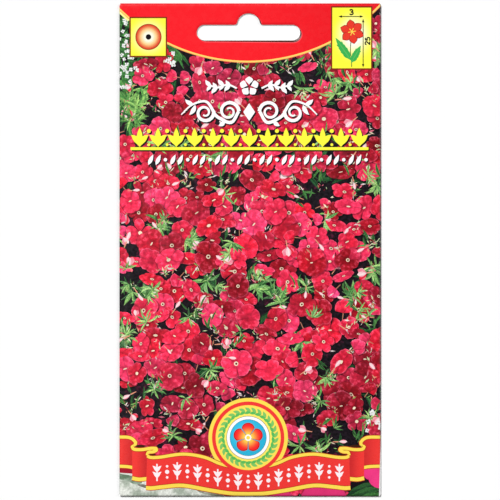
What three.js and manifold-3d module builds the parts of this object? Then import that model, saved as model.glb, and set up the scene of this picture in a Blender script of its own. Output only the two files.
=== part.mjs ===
// A flat flower seed packet lying on its back. One sheet of coated paper is cut, folded
// round into a pocket and closed by four glue lines. Its header has a hang slot through
// every layer, and the pocket below the header seal holds loose seeds.
// Millimetres. X runs across the packet, Y up its height and Z out of its front.
import * as THREE from "three";
import { mergeVertices } from "three/addons/utils/BufferGeometryUtils.js";
import Module from "manifold-3d";

const wasm = await Module();
wasm.setup();

// Driving sizes.
const packetWidth = 80;
const packetHeight = 151;
const paper = 0.12;
const bondGap = 0.06; // room for the glue between two bonded layers
const glueClearance = 0.01;

const lapWidth = 14; // the strip that folds in from the left edge of the front
const backOverlap = 8; // how far the back panel covers that strip
const bottomFlapLength = 12;
const topFlapLength = 14.5;
const flapSideInset = 0.25; // each end of a flap, at its fold
const flapTaper = 3; // the further inset at its free edge

const pillowHeight = 2.2; // how far the seeds push the front out
const pillowRoundness = 3; // the power of the curve across the packet
const bottomRise = 22; // the front reaches that height this far above the bottom fold
const headerRise = 62; // and sinks back over this length below the header seal
const sealTop = 61.5;
const sealBottom = 57.5;
const sealInset = 1.5; // from each side of the packet
const glueMargin = 1.2; // from any other glue line to the edges of its paper

const slotWidth = 31.7;
const slotHeight = 4.85;
const slotBelowTop = 6.54; // from the packet's top edge to the bar of the slot
const slotShift = -0.5;
const domeRadius = 3.55;
const domeSink = 0.05; // the centre of the dome lies this far inside the bar
const domeFlare = 0.7; // each foot of the dome runs out this far along the bar
const footAngle = 0.3;
const backSlotSlip = [0.15, 0.25]; // the punched layers don't lie quite true
const flapSlotSlip = [0.2, 0.3];

const seedCount = 50;
const seedSize = [2.6, 1.6, 1.2]; // length, width and thickness
const seedVariation = 0.12;
const seedBluntness = 0.16;
const seedGroove = 0.82; // the groove along a seed is this share of its height
const seedTilt = 0.25;
const seedSpacing = 3;
const seedClearance = 0.03;
const seedDrift = 1.5; // above 1, more of the seeds lie towards the bottom
const seedRegion = { left: -23, right: 30, bottom: -67, depth: 46 };

// Heights of the middle of each layer, from the outside of the back to the front.
const layerStep = paper + bondGap;
const flapLevel = paper / 2;
const backLevel = flapLevel + layerStep;
const lapLevel = backLevel + layerStep;
const frontLevel = lapLevel + layerStep;
const backInside = backLevel + paper / 2;
const frontInside = frontLevel - paper / 2;

// Each fold is half a turn between two levels. Its centre lies one radius and half a
// paper's thickness in from the packet's edge.
const rightFoldRadius = (frontLevel - backLevel) / 2;
const leftFoldRadius = (frontLevel - lapLevel) / 2;
const flapFoldRadius = (frontLevel - flapLevel) / 2;
const frontRight = packetWidth / 2 - rightFoldRadius - paper / 2;
const frontLeft = -packetWidth / 2 + leftFoldRadius + paper / 2;
const frontReach = packetHeight / 2 - flapFoldRadius - paper / 2;
const backReach = frontReach - flapFoldRadius; // the back and lap stop inside the flap folds
const lapEdge = -packetWidth / 2 + lapWidth;
const backEdge = lapEdge - backOverlap;

// How many steps each stretch of paper is drawn in.
const foldSteps = 6;
const lapSteps = 3;
const frontSteps = 20;
const backSteps = 5;
const bottomSteps = 8;
const risingSteps = 14;
const headerSteps = 2;
const flapSteps = 2;
const flapAcrossSteps = 8;

const printedPaper = new THREE.MeshStandardMaterial({ color: 0xd92b45, roughness: 0.35 });
const driedGlue = new THREE.MeshStandardMaterial({ color: 0xefe6cf, roughness: 0.5 });
const seedCoat = new THREE.MeshStandardMaterial({ color: 0x5b4030, roughness: 0.85 });

function toSolid(geometry) {
  const bare = geometry.clone();
  bare.deleteAttribute("normal");
  bare.deleteAttribute("uv");
  const merged = mergeVertices(bare, 1e-5);
  return new wasm.Manifold(
    new wasm.Mesh({
      numProp: 3,
      vertProperties: merged.attributes.position.array,
      triVerts: new Uint32Array(merged.index.array),
    }),
  );
}

function toNode(name, solid, material) {
  const mesh = solid.getMesh();
  const geometry = new THREE.BufferGeometry();
  geometry.setAttribute("position", new THREE.BufferAttribute(mesh.vertProperties, 3));
  geometry.setIndex(new THREE.BufferAttribute(mesh.triVerts, 1));
  geometry.computeVertexNormals();
  const node = new THREE.Mesh(geometry, material);
  node.name = name;
  return node;
}

// A closed slab of paper. grid[i][j] holds a point of its middle surface and the
// direction in which its printed face looks there.
function paperSlab(grid) {
  const columns = grid.length;
  const rows = grid[0].length;
  const positions = [];
  for (const side of [paper / 2, -paper / 2]) {
    for (const column of grid) {
      for (const { at, out } of column) {
        positions.push(at.x + out.x * side, at.y + out.y * side, at.z + out.z * side);
      }
    }
  }
  const printed = (i, j) => i * rows + j;
  const plain = (i, j) => (columns + i) * rows + j;
  const faces = [];
  const quad = (a, b, c, d) => faces.push(a, b, c, a, c, d);
  for (let i = 0; i < columns - 1; i += 1) {
    for (let j = 0; j < rows - 1; j += 1) {
      quad(printed(i, j), printed(i + 1, j), printed(i + 1, j + 1), printed(i, j + 1));
      quad(plain(i, j), plain(i, j + 1), plain(i + 1, j + 1), plain(i + 1, j));
    }
  }
  const right = columns - 1;
  const top = rows - 1;
  for (let i = 0; i < right; i += 1) {
    quad(printed(i, 0), plain(i, 0), plain(i + 1, 0), printed(i + 1, 0));
    quad(printed(i + 1, top), plain(i + 1, top), plain(i, top), printed(i, top));
  }
  for (let j = 0; j < top; j += 1) {
    quad(printed(0, j + 1), plain(0, j + 1), plain(0, j), printed(0, j));
    quad(printed(right, j), plain(right, j), plain(right, j + 1), printed(right, j + 1));
  }
  const geometry = new THREE.BufferGeometry();
  geometry.setAttribute("position", new THREE.Float32BufferAttribute(positions, 3));
  geometry.setIndex(faces);
  return toSolid(geometry);
}

// Numbers from a to b in equal steps, or drawn in towards both ends.
const evenly = (a, b, steps) => Array.from({ length: steps + 1 }, (_, i) => a + ((b - a) * i) / steps);
const drawnIn = (a, b, steps) =>
  Array.from({ length: steps + 1 }, (_, i) => (a + b) / 2 - ((b - a) / 2) * Math.cos((Math.PI * i) / steps));

// How far the front stands out over the seeds: nothing at its folds and at the header
// seal, rising quickly from the bottom fold and slowly down from the header.
function pillow(x, y) {
  const middle = (frontLeft + frontRight) / 2;
  const half = (frontRight - frontLeft) / 2;
  const across = Math.max(0, 1 - Math.abs((x - middle) / half) ** pillowRoundness);
  const up = THREE.MathUtils.clamp((y + frontReach) / bottomRise, 0, 1);
  const down = THREE.MathUtils.clamp((sealBottom - y) / headerRise, 0, 1);
  return pillowHeight * across * up * (2 - up) * down * down * (3 - 2 * down);
}

// The cross-section of the pocket, followed from the lap's free edge round the left fold,
// over the front and round the right fold to the back's free edge. Each station gives its
// place and printed side, and reach is how far the paper runs up and down there.
function pocketStations() {
  const stations = [];
  const level = (x, z, facing, reach, raised) =>
    stations.push({ x, z, out: new THREE.Vector3(0, 0, facing), reach, raised });
  const fold = (centreX, centreZ, radius, from, to, reachFrom, reachTo) => {
    for (const share of evenly(0, 1, foldSteps).slice(1, -1)) {
      const angle = from + (to - from) * share;
      const out = new THREE.Vector3(Math.cos(angle), 0, Math.sin(angle));
      const reach = reachFrom + (reachTo - reachFrom) * share;
      stations.push({ x: centreX + radius * out.x, z: centreZ + radius * out.z, out, reach });
    }
  };
  for (const x of evenly(lapEdge, frontLeft, lapSteps)) level(x, lapLevel, -1, backReach);
  fold(frontLeft, (lapLevel + frontLevel) / 2, leftFoldRadius,
    1.5 * Math.PI, 0.5 * Math.PI, backReach, frontReach);
  for (const x of drawnIn(frontLeft, frontRight, frontSteps)) level(x, frontLevel, 1, frontReach, true);
  fold(frontRight, (backLevel + frontLevel) / 2, rightFoldRadius,
    0.5 * Math.PI, -0.5 * Math.PI, frontReach, backReach);
  for (const x of evenly(frontRight, backEdge, backSteps)) level(x, backLevel, -1, backReach);
  return stations;
}

function pocket() {
  const rows = [
    ...evenly(-frontReach, -frontReach + bottomRise, bottomSteps),
    ...evenly(-frontReach + bottomRise, sealBottom, risingSteps).slice(1),
    ...evenly(sealBottom, frontReach, headerSteps).slice(1),
  ];
  return paperSlab(
    pocketStations().map(({ x, z, out, reach, raised }) =>
      rows.map((row) => {
        const y = (row * reach) / frontReach;
        return { at: new THREE.Vector3(x, y, z + (raised ? pillow(x, y) : 0)), out };
      }),
    ),
  );
}

// A flap that folds from an end of the front down over the back. side is 1 at the top.
function flap(side, length) {
  const path = [];
  for (const share of evenly(0, 1, foldSteps)) {
    const angle = Math.PI * (0.5 - share);
    path.push({
      along: frontReach + flapFoldRadius * Math.cos(angle),
      z: (frontLevel + flapLevel) / 2 + flapFoldRadius * Math.sin(angle),
      out: new THREE.Vector3(0, side * Math.cos(angle), Math.sin(angle)),
      inset: flapSideInset,
    });
  }
  for (const share of evenly(0, 1, flapSteps).slice(1)) {
    path.push({
      along: frontReach + (packetHeight / 2 - length - frontReach) * share,
      z: flapLevel,
      out: new THREE.Vector3(0, 0, -1),
      inset: flapSideInset + flapTaper * share,
    });
  }
  const grid = evenly(-1, 1, flapAcrossSteps).map((share) =>
    path.map(({ along, z, out, inset }) => ({
      at: new THREE.Vector3(share * (packetWidth / 2 - inset), side * along, z),
      out,
    })),
  );
  return paperSlab(side > 0 ? grid : grid.reverse());
}

// The hang slot: a bar with round ends and a dome with flared feet over its middle. grown
// widens it all round, and slip moves it as its own layer of paper was punched.
function slotCutter(fromZ, toZ, [slipX, slipY] = [0, 0], grown = 0) {
  const half = slotWidth / 2 + grown;
  const top = grown;
  const bottom = -slotHeight - grown;
  const endRadius = (top - bottom) / 2;
  const radius = domeRadius + grown;
  const foot = [radius * Math.cos(footAngle), -domeSink + radius * Math.sin(footAngle)];
  const shape = new THREE.Shape();
  shape.moveTo(-half + endRadius, bottom);
  shape.lineTo(half - endRadius, bottom);
  shape.absarc(half - endRadius, (top + bottom) / 2, endRadius, -Math.PI / 2, Math.PI / 2);
  shape.lineTo(radius + domeFlare, top);
  shape.quadraticCurveTo(radius, top, foot[0], foot[1]);
  shape.absarc(0, -domeSink, radius, footAngle, Math.PI - footAngle);
  shape.quadraticCurveTo(-radius, top, -radius - domeFlare, top);
  shape.lineTo(-half + endRadius, top);
  shape.absarc(-half + endRadius, (top + bottom) / 2, endRadius, Math.PI / 2, 1.5 * Math.PI);
  const depth = toZ - fromZ;
  const cutter = new THREE.ExtrudeGeometry(shape, { depth, bevelEnabled: false, curveSegments: 10 });
  cutter.translate(slotShift + slipX, packetHeight / 2 - slotBelowTop + slipY, fromZ);
  return toSolid(cutter);
}

function packetSheet() {
  return pocket()
    .add(flap(-1, bottomFlapLength))
    .add(flap(1, topFlapLength))
    .subtract(slotCutter(frontInside - bondGap / 2, frontLevel + paper))
    .subtract(slotCutter(backLevel - layerStep / 2, backLevel + layerStep / 2, backSlotSlip))
    .subtract(slotCutter(-paper, flapLevel + layerStep / 2, flapSlotSlip));
}

// A flat bed of glue between two heights.
function glueBed([left, right], [bottom, top], [under, over]) {
  const bed = new THREE.BoxGeometry(right - left, top - bottom, over - under);
  bed.translate((left + right) / 2, (bottom + top) / 2, (under + over) / 2);
  return toSolid(bed);
}

// The room between a layer at this level and the next one up, less the clearance.
function bondAbove(level) {
  const under = level + paper / 2 + glueClearance;
  return [under, under + bondGap - 2 * glueClearance];
}

function glueLines() {
  const glueReach = backReach - glueMargin;
  const seamAcross = [backEdge + glueMargin, lapEdge - glueMargin];
  const flapAcross = [backEdge + glueMargin, packetWidth / 2 - flapSideInset - flapTaper - glueMargin];
  const bottomFlapGlue = [-glueReach, -packetHeight / 2 + bottomFlapLength - glueMargin];
  const topFlapGlue = [packetHeight / 2 - topFlapLength + glueMargin, glueReach];
  const sealRight = packetWidth / 2 - sealInset;
  const sealStep = lapEdge + 0.5;
  const seal = [sealBottom, sealTop];
  const sealRoom = [backInside + glueClearance, frontInside - glueClearance];
  const sideSeam = glueBed(seamAcross, [-glueReach, glueReach], bondAbove(backLevel));
  const bottomFlap = glueBed(flapAcross, bottomFlapGlue, bondAbove(flapLevel));
  const topFlap = glueBed(flapAcross, topFlapGlue, bondAbove(flapLevel));
  const slotHole = slotCutter(0, frontLevel, flapSlotSlip, glueMargin / 2);
  const overBack = glueBed([sealStep, sealRight], seal, sealRoom);
  const overLap = glueBed([-sealRight, sealStep], seal, bondAbove(lapLevel));
  return [
    toNode("glue_side_seam", sideSeam, driedGlue),
    toNode("glue_bottom_flap", bottomFlap, driedGlue),
    toNode("glue_top_flap", topFlap.subtract(slotHole), driedGlue),
    toNode("glue_header_seal", overBack.add(overLap), driedGlue),
  ];
}

// Random numbers that are the same in every build.
function seededRandom(state) {
  return () => {
    state = (state + 0x6d2b79f5) | 0;
    let mixed = Math.imul(state ^ (state >>> 15), 1 | state);
    mixed = (mixed + Math.imul(mixed ^ (mixed >>> 7), 61 | mixed)) ^ mixed;
    return ((mixed ^ (mixed >>> 14)) >>> 0) / 4294967296;
  };
}

// A plump seed, blunter at one end, with a shallow groove along its upper face.
function seedGeometry(random) {
  const [length, width, thickness] = seedSize.map((size) => size * (1 + seedVariation * (2 * random() - 1)));
  const geometry = new THREE.SphereGeometry(1, 8, 6);
  geometry.rotateZ(Math.PI / 2);
  const place = geometry.attributes.position;
  for (let i = 0; i < place.count; i += 1) {
    const along = place.getX(i);
    const side = place.getY(i);
    const up = place.getZ(i);
    const blunt = 1 + seedBluntness * along;
    const groove = up > 0.5 && Math.abs(side) < 0.2 ? seedGroove : 1;
    place.setXYZ(i, (along * length) / 2, (side * blunt * width) / 2, (up * blunt * groove * thickness) / 2);
  }
  return geometry;
}

// Seeds lie in one loose layer on the inside of the back, closer together towards the
// bottom of the pocket, and each one clears its neighbours and the front above it.
function seeds() {
  const random = seededRandom(7);
  const lying = [];
  while (lying.length < seedCount) {
    const x = seedRegion.left + (seedRegion.right - seedRegion.left) * random();
    const y = seedRegion.bottom + seedRegion.depth * random() ** seedDrift;
    const geometry = seedGeometry(random);
    const seed = new THREE.Mesh(geometry, seedCoat);
    seed.rotation.set(seedTilt * (2 * random() - 1), 0, 2 * Math.PI * random(), "ZXY");
    seed.position.set(x, y, 0);
    const box = new THREE.Box3().setFromObject(seed, true);
    seed.position.z = backInside + seedClearance - box.min.z;
    const top = box.max.z + seed.position.z + seedClearance;
    const corners = [box.min.x, box.max.x].flatMap((cx) => [box.min.y, box.max.y].map((cy) => [cx, cy]));
    const underFront = corners.every(([cx, cy]) => frontInside + pillow(cx, cy) > top);
    const apart = lying.every(({ position }) => Math.hypot(position.x - x, position.y - y) > seedSpacing);
    if (underFront && apart) {
      seed.name = `seed_${String(lying.length + 1).padStart(2, "0")}`;
      lying.push(seed);
    }
  }
  return lying;
}

const packet = new THREE.Group();
packet.add(toNode("packet_sheet", packetSheet(), printedPaper));
packet.add(...glueLines());
packet.add(...seeds());

export default packet;
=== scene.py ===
# %% [markdown]
# # A printed seed packet
# A seed packet is one sheet of coated paper. It is printed flat, cut to a blank, folded round
# into a pocket and closed with glue. Almost all of its looks are in the print, so this lesson
# works as a printer does: it draws the picture on the flat blank, and folds the blank
# afterwards. The picture is made of drawn shapes, not of an image file, so every petal has
# sharp edges at any size. Sizes are in millimetres until the mesh is made.

# %% The fixed model and the tools
import math
from collections import namedtuple

import bpy
import numpy as np
from mathutils import Matrix, Vector
from mathutils.geometry import delaunay_2d_cdt


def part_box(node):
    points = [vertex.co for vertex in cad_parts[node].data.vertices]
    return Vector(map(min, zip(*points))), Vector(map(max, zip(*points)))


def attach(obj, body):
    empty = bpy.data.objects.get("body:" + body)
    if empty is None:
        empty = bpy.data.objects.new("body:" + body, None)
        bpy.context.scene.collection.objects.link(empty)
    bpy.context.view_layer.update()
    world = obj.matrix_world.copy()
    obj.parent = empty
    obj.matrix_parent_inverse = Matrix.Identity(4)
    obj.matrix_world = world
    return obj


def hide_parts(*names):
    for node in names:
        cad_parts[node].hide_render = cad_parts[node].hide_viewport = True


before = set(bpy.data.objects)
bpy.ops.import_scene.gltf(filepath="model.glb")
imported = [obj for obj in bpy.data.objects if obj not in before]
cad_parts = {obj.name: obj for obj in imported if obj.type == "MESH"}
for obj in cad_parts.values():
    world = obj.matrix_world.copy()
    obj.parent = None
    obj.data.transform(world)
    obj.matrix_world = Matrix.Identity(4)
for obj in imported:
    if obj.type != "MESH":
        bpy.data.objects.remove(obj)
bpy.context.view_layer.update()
metres = 0.001  # one millimetre
print("solids in the frame:", len(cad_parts))

# %% [markdown]
# ## The sizes of the folded packet
# The solid model gives the outside of the packet. The paper's thickness and the height of each
# layer are the model's own values. Each fold is half a turn between two layers, so the radius
# of a fold is half the step between its layers.

# %% Sizes of the packet
half_width, half_height, thickness = np.array(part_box("packet_sheet")[1]) / metres

paper = 0.12
bond_gap = 0.06  # the room for glue between two layers
layer_step = paper + bond_gap
flap_level = paper / 2
back_level = flap_level + layer_step
lap_level = back_level + layer_step
front_level = lap_level + layer_step

right_radius = (front_level - back_level) / 2
left_radius = (front_level - lap_level) / 2
flap_radius = (front_level - flap_level) / 2
front_right = half_width - right_radius - paper / 2
front_left = -half_width + left_radius + paper / 2
front_reach = half_height - flap_radius - paper / 2
back_reach = front_reach - flap_radius
right_crease = front_right + math.pi * right_radius  # where each fold ends on the flat blank
left_crease = front_left - math.pi * left_radius
end_crease = front_reach + math.pi * flap_radius

lap_width = 14.0
back_overlap = 8.0
top_flap, bottom_flap = 14.5, 12.0
flap_inset, flap_taper = 0.25, 3.0
print(f"packet {2 * half_width:.1f} x {2 * half_height:.1f} mm, {thickness:.2f} mm thick")

# %% [markdown]
# ## Folding
# Every point of the flat blank has a place on the folded packet. X on the blank runs on over
# the right edge of the front on to the back, and over the left edge on to the lap. Y runs on
# over the top and bottom edges on to the flaps. One function holds this rule, so the print,
# the inner face of the paper and its edges can't come apart. The seeds push the front out, so
# the front is a low pillow with a few soft ripples, as thin paper over seeds has. Beside each
# fold the paper springs up a little, and round the slot the punch has pressed it down.

# %% The pillow over the seeds
pillow_height = 2.2
pillow_power = 3
bottom_rise, header_rise = 22.0, 62.0
seal_bottom = 57.5
ripple_height = 0.1
front_middle = (front_left + front_right) / 2
front_half = (front_right - front_left) / 2


def pillow(x, y):
    """How far the seeds push the front out at these points."""
    across = np.clip(1 - np.abs((x - front_middle) / front_half) ** pillow_power, 0, 1)
    up = np.clip((y + front_reach) / bottom_rise, 0, 1)
    down = np.clip((seal_bottom - y) / header_rise, 0, 1)
    share = across * up * (2 - up) * down**2 * (3 - 2 * down)
    ripples = np.sin(x * 0.31 + 1.7 * np.sin(y * 0.07)) * np.sin(y * 0.19 + 1.1 * np.sin(x * 0.11))
    return share * (pillow_height + ripple_height * ripples)


# %% Spring beside the folds, and the dip round the slot
slot_width, slot_height = 31.7, 4.85
slot_at = np.array([-0.5, half_height - 6.54])  # the middle of the bar's upper edge
dome_radius, dome_sink, dome_flare, foot_angle = 3.55, 0.05, 0.7, 0.3
spring_height, spring_width, spring_reach = 0.15, 0.25, 4.0
dip_depth, dip_width = 0.2, 0.4


def beside_folds(x, y):
    """How far the paper springs up beside its folds at these points."""
    side_gap = np.maximum(front_half - np.abs(x - front_middle), 0)
    end_gap = np.maximum(front_reach - np.abs(y), 0)
    rise = (1 - np.exp(-side_gap / spring_width)) * (1 - np.exp(-end_gap / spring_width))
    return spring_height * rise * np.exp(-np.minimum(side_gap, end_gap) / spring_reach)


def round_slot(x, y):
    """How far the punch pressed the front down at these points."""
    x, y = x - slot_at[0], y - slot_at[1]
    end = slot_height / 2
    along = np.maximum(np.abs(x) - (slot_width / 2 - end), 0)
    off_bar = np.hypot(along, y + end) - end
    off_dome = np.hypot(x, y + dome_sink) - dome_radius
    away = np.maximum(np.minimum(off_bar, off_dome), 0)
    return -dip_depth * np.exp(-((away / dip_width) ** 2))


def front_rise(x, y):
    return pillow(x, y) + beside_folds(x, y) + round_slot(x, y)


folds = (  # the axis that each runs across, its side, the front's edge there and its radius
    (0, 1, front_right, right_radius), (0, -1, -front_left, left_radius),
    (1, 1, front_reach, flap_radius), (1, -1, front_reach, flap_radius),
)


def half_turn(beyond, radius, edge):
    """Round a fold: how far out, how high, and which way the printed face looks, out and up."""
    angle = np.clip(beyond / radius, 0, math.pi)
    past = np.maximum(beyond - math.pi * radius, 0)
    out = edge + radius * np.sin(angle) - past
    high = front_level - radius + radius * np.cos(angle)
    return out, high, np.sin(angle), np.cos(angle)


def fold(blank, side):
    """Place and outward direction of points on the blank. side is 1 printed, -1 inner."""
    x, y = blank.T
    step = 0.01
    slope_x = (front_rise(x + step, y) - front_rise(x - step, y)) / (2 * step)
    slope_y = (front_rise(x, y + step) - front_rise(x, y - step)) / (2 * step)
    place = np.stack([x, y, front_level + front_rise(x, y)], 1)
    out = np.stack([-slope_x, -slope_y, np.ones_like(x)], 1)
    for axis, sign, edge, radius in folds:
        beyond = sign * blank[:, axis] - edge
        here = beyond > 0
        far, high, outward, upward = half_turn(beyond[here], radius, edge)
        place[here, axis] = sign * far
        place[here, 2] = high
        out[here] = 0
        out[here, axis] = sign * outward
        out[here, 2] = upward
    out /= np.linalg.norm(out, axis=1)[:, None]
    return place + side * paper / 2 * out, out * side


# %% [markdown]
# ## The cut blank and its hang slot
# The die cuts the outline of the blank and three slots, one in each layer of the header. They
# come to lie on each other once the packet is folded, though never quite true.

# %% The outline of the blank
full_turn = 2 * math.pi


def turn(angle):
    cosine, sine = math.cos(angle), math.sin(angle)
    return np.array([[cosine, -sine], [sine, cosine]])


def heading(angle):
    return turn(angle)[:, 0]


def arc(centre, radius, start, stop, points):
    angle = np.linspace(start, stop, points)
    return np.asarray(centre) + radius * np.stack([np.cos(angle), np.sin(angle)], 1)


def back_place(x):
    """Where a point of the back, at this x on the packet, lies on the blank."""
    return right_crease + (front_right - x)


def lap_place(x):
    return left_crease - (x - front_left)


def flap_place(y):
    """Where a point of a flap, this far up or down the packet, lies on the blank."""
    return end_crease + (front_reach - y)


def blank_outline():
    lap_edge = -half_width + lap_width
    lap_x, back_x = lap_place(lap_edge), back_place(lap_edge - back_overlap)
    fold_half = half_width - flap_inset
    free_half = fold_half - flap_taper
    low = flap_place(half_height - bottom_flap)
    high = flap_place(half_height - top_flap)
    return np.array([
        (lap_x, -back_reach), (front_left, -back_reach), (front_left, -front_reach),
        (-fold_half, -front_reach), (-fold_half, -end_crease), (-free_half, -low),
        (free_half, -low), (fold_half, -end_crease), (fold_half, -front_reach),
        (front_right, -front_reach), (front_right, -back_reach), (back_x, -back_reach),
        (back_x, back_reach), (front_right, back_reach), (front_right, front_reach),
        (fold_half, front_reach), (fold_half, end_crease), (free_half, high),
        (-free_half, high), (-fold_half, end_crease), (-fold_half, front_reach),
        (front_left, front_reach), (front_left, back_reach), (lap_x, back_reach),
    ])


# %% The hang slot
back_slip, flap_slip = np.array([0.15, 0.25]), np.array([0.2, 0.3])


def slot_outline(grown):
    """A bar with round ends and a dome over its middle, grown on every side by this much."""
    half = slot_width / 2 + grown
    end = slot_height / 2 + grown
    middle = -slot_height / 2
    dome = dome_radius + grown
    foot = np.array([dome * math.cos(foot_angle), -dome_sink + dome * math.sin(foot_angle)])
    start = np.array([dome + dome_flare, grown])
    corner = np.array([dome, grown])
    t = np.linspace(0, 1, 6)[:, None]
    right_foot = (1 - t) ** 2 * start + 2 * t * (1 - t) * corner + t**2 * foot
    left_foot = right_foot[::-1] * (-1, 1)
    quarter = math.pi / 2
    return np.vstack([
        arc((half - end, middle), end, -quarter, quarter, 16),
        right_foot[:-1],
        arc((0, -dome_sink), dome, foot_angle, math.pi - foot_angle, 22),
        left_foot[1:],
        arc((end - half, middle), end, quarter, 3 * quarter, 16),
    ])


def slots_on_blank():
    """The slot as it is punched in the front, in the back and in the top flap."""
    front = slot_outline(0) + slot_at
    back, flap = front + back_slip, front + flap_slip
    back = np.stack([back_place(back[:, 0]), back[:, 1]], 1)[::-1]
    flap = np.stack([flap[:, 0], flap_place(flap[:, 1])], 1)[::-1]
    return [front, back, flap]


print("blank outline:", len(blank_outline()), "corners; slots:", len(slots_on_blank()))

# %% [markdown]
# ## Inks and drawn shapes
# The picture is a stack of flat shapes, drawn from the ground upwards, as cut papers in a
# collage. A shape has a finish, which says how it is shaded, a first and a second ink, and a
# little frame of its own, in which the shading works: a petal's frame starts at the eye of the
# bloom and its first axis runs out along the petal. A shape with the finish "shadow" has no
# ink, and only darkens what lies under it.

# %% Inks
inks = {
    "night": (24, 18, 24), "plum": (84, 26, 48), "shade green": (36, 74, 48),
    "crimson": (222, 28, 48), "rose": (255, 62, 108), "ruby": (140, 24, 42),
    "blush": (255, 140, 170), "cream": (250, 232, 200), "olive": (96, 70, 44),
    "ivy": (34, 80, 46), "grass": (84, 154, 76), "lime": (150, 204, 108),
    "pale leaf": (214, 234, 178), "bud white": (250, 228, 228), "bud pink": (240, 120, 142),
    "peach": (228, 150, 120), "signal red": (250, 34, 44), "brick red": (230, 26, 36),
    "amber": (255, 214, 108), "yolk": (254, 221, 84), "lemon": (254, 250, 66), "brown": (64, 32, 16),
    "apricot": (252, 208, 138), "ivory": (255, 252, 228), "orange": (222, 66, 38), "rust": (127, 46, 25),
    "band red": (240, 60, 56), "band shade": (200, 44, 46),
    "sky": (52, 198, 240), "white": (255, 255, 255), "stone": (230, 233, 224),
    "wet stone": (132, 148, 128), "magenta": (240, 60, 130), "emerald": (60, 176, 84),
    "scarlet": (232, 60, 44),
}
ink = {name: np.array(tone) / 255 for name, tone in inks.items()}

Shape = namedtuple("Shape", "finish ink second outline at spread")
collage = []
upright = np.eye(2)


def inked(tone):
    """An ink by its name, or one that is mixed already, as it is."""
    return ink[tone] if isinstance(tone, str) else tone


def blend(first, second, share):
    return inked(first) * (1 - share) + inked(second) * share


def draw(finish, first, outline, second=None, at=(0, 0), spread=upright):
    """Lay one shape on the collage. spread takes the shape's own frame to millimetres."""
    first = inked(first)
    second = first if second is None else inked(second)
    collage.append(Shape(finish, first, second, np.asarray(outline, float), np.asarray(at), spread))


def flat(tone, outline):
    draw("flat", tone, outline)


def glow(first, outline, second, at, reach):
    """A shape whose first ink gives way to its second, this far away from a point."""
    draw("glow", first, outline, second, at, upright * reach)


def shadow(outline, strength):
    draw("shadow", np.full(3, 1 - strength), outline)


# %% Outlines that the drawings share
def disc(centre, radius, points):
    return arc(centre, radius, 0, full_turn, points + 1)[:-1]


def box(left, bottom, right, top):
    return np.array([(left, bottom), (right, bottom), (right, top), (left, top)])


def left_of(way):
    return np.array([-way[1], way[0]])


def sideways(path):
    """For each point of a path, the unit vector that points to the left of it."""
    side = left_of(np.gradient(path, axis=0).T).T
    return side / np.linalg.norm(side, axis=1)[:, None]


def strip(path, width):
    """A band of this width, or of these widths, along a path."""
    path = np.asarray(path, float)
    half = np.broadcast_to(np.asarray(width, float), len(path))[:, None] / 2
    side = sideways(path) * half
    return np.vstack([path - side, (path + side)[::-1]])


def flowing(points, steps):
    """A smooth curve through a few points."""
    p = np.asarray(points, float)
    p = np.vstack([2 * p[0] - p[1], p, 2 * p[-1] - p[-2]])
    t = np.linspace(0, 1, steps, endpoint=False)[:, None]
    pieces = []
    for a, b, c, d in zip(p, p[1:], p[2:], p[3:]):
        curve = 2 * b + (c - a) * t + (2 * a - 5 * b + 4 * c - d) * t**2 + (3 * b - a - 3 * c + d) * t**3
        pieces.append(curve / 2)
    return np.vstack(pieces + [p[-2][None]])


def leaf_outline(base, tip, width, bend=0.0, steps=6, widest=0.45):
    """A leaf from base to tip. Its midrib bows sideways by this share of its length."""
    base, tip = np.asarray(base, float), np.asarray(tip, float)
    along = tip - base
    t = np.linspace(0, 1, steps + 1)
    rib = base + np.outer(t, along) + np.outer(4 * t * (1 - t) * bend, left_of(along))
    half = width / 2 * np.sin(np.pi * t ** (math.log(0.5) / math.log(widest)))
    side = sideways(rib) * half[:, None]
    return np.vstack([rib[:1], (rib - side)[1:-1], rib[-1:], (rib + side)[1:-1][::-1]])


def mirrored(outline, middle):
    """The same outline on the other side of the line x = middle."""
    other = np.array(outline, float)
    other[:, 0] = 2 * middle - other[:, 0]
    return other[::-1]


# %% [markdown]
# ## Phlox blooms, buds and leaves
# A phlox bloom is five broad petals that overlap round a small pale eye. Each bloom of the bed
# faces its own way, so it is drawn on a round frame that is then squashed along one direction.
# Buds are pale folded petals on a thin tube, and the leaves are narrow and grow in tufts.
# All random draws come from one seeded generator, so every packet is printed alike.

# %% Chance
draws = np.random.default_rng(11)
between, some = draws.uniform, draws.integers  # some() is a whole number, below the second given


def chance(share):
    return draws.random() < share


def stray(spread, size=None):
    """A random step to either side, or a few of them."""
    return draws.normal(0, spread, size)


def any_angle():
    return between(0, full_turn)


# %% One bloom
petal_points = 9  # along a petal's free edge
bright_edge = 0.94  # how much of a petal lies inside its paler edge
petal_shade = np.array([0.15, -0.25])  # the sun stands high at the left


def petal_rim(half_angle, reach, cut, power):
    """A petal's free edge about the eye, from one shoulder to the other."""
    t = np.linspace(-1, 1, petal_points)
    distance = reach * (1 - cut * np.abs(t) ** power)
    return np.stack([distance * np.cos(half_angle * t), distance * np.sin(half_angle * t)], 1)


def petal_outline(rim, spread):
    """A whole petal, from the eye out to its rim, as it lies round the eye."""
    return np.vstack([[0, 0], rim]) @ spread.T


def sunshine(place):
    """How brightly the sun falls here: in broad patches, and most of all on the middle."""
    x, y = place
    wave = math.sin(0.13 * x + 1.3 * math.sin(0.09 * y))
    cross_wave = math.sin(0.17 * y + 1.1 * math.sin(0.12 * x + 2))
    return 1.03 + 0.07 * (wave + cross_wave) - 0.19 * min(abs(y) / 50, 1) ** 2


def face_of_bloom(radius):
    """The round frame of a bloom, squashed as far as the bloom looks away."""
    if chance(0.35):
        facing, lean = stray(0.3), between(0.42, 0.78)
    else:
        facing, lean = between(0, math.pi), 1 - 0.35 * draws.random() ** 2
    return turn(facing) @ np.diag([1, lean]) @ turn(-facing) * radius


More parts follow.
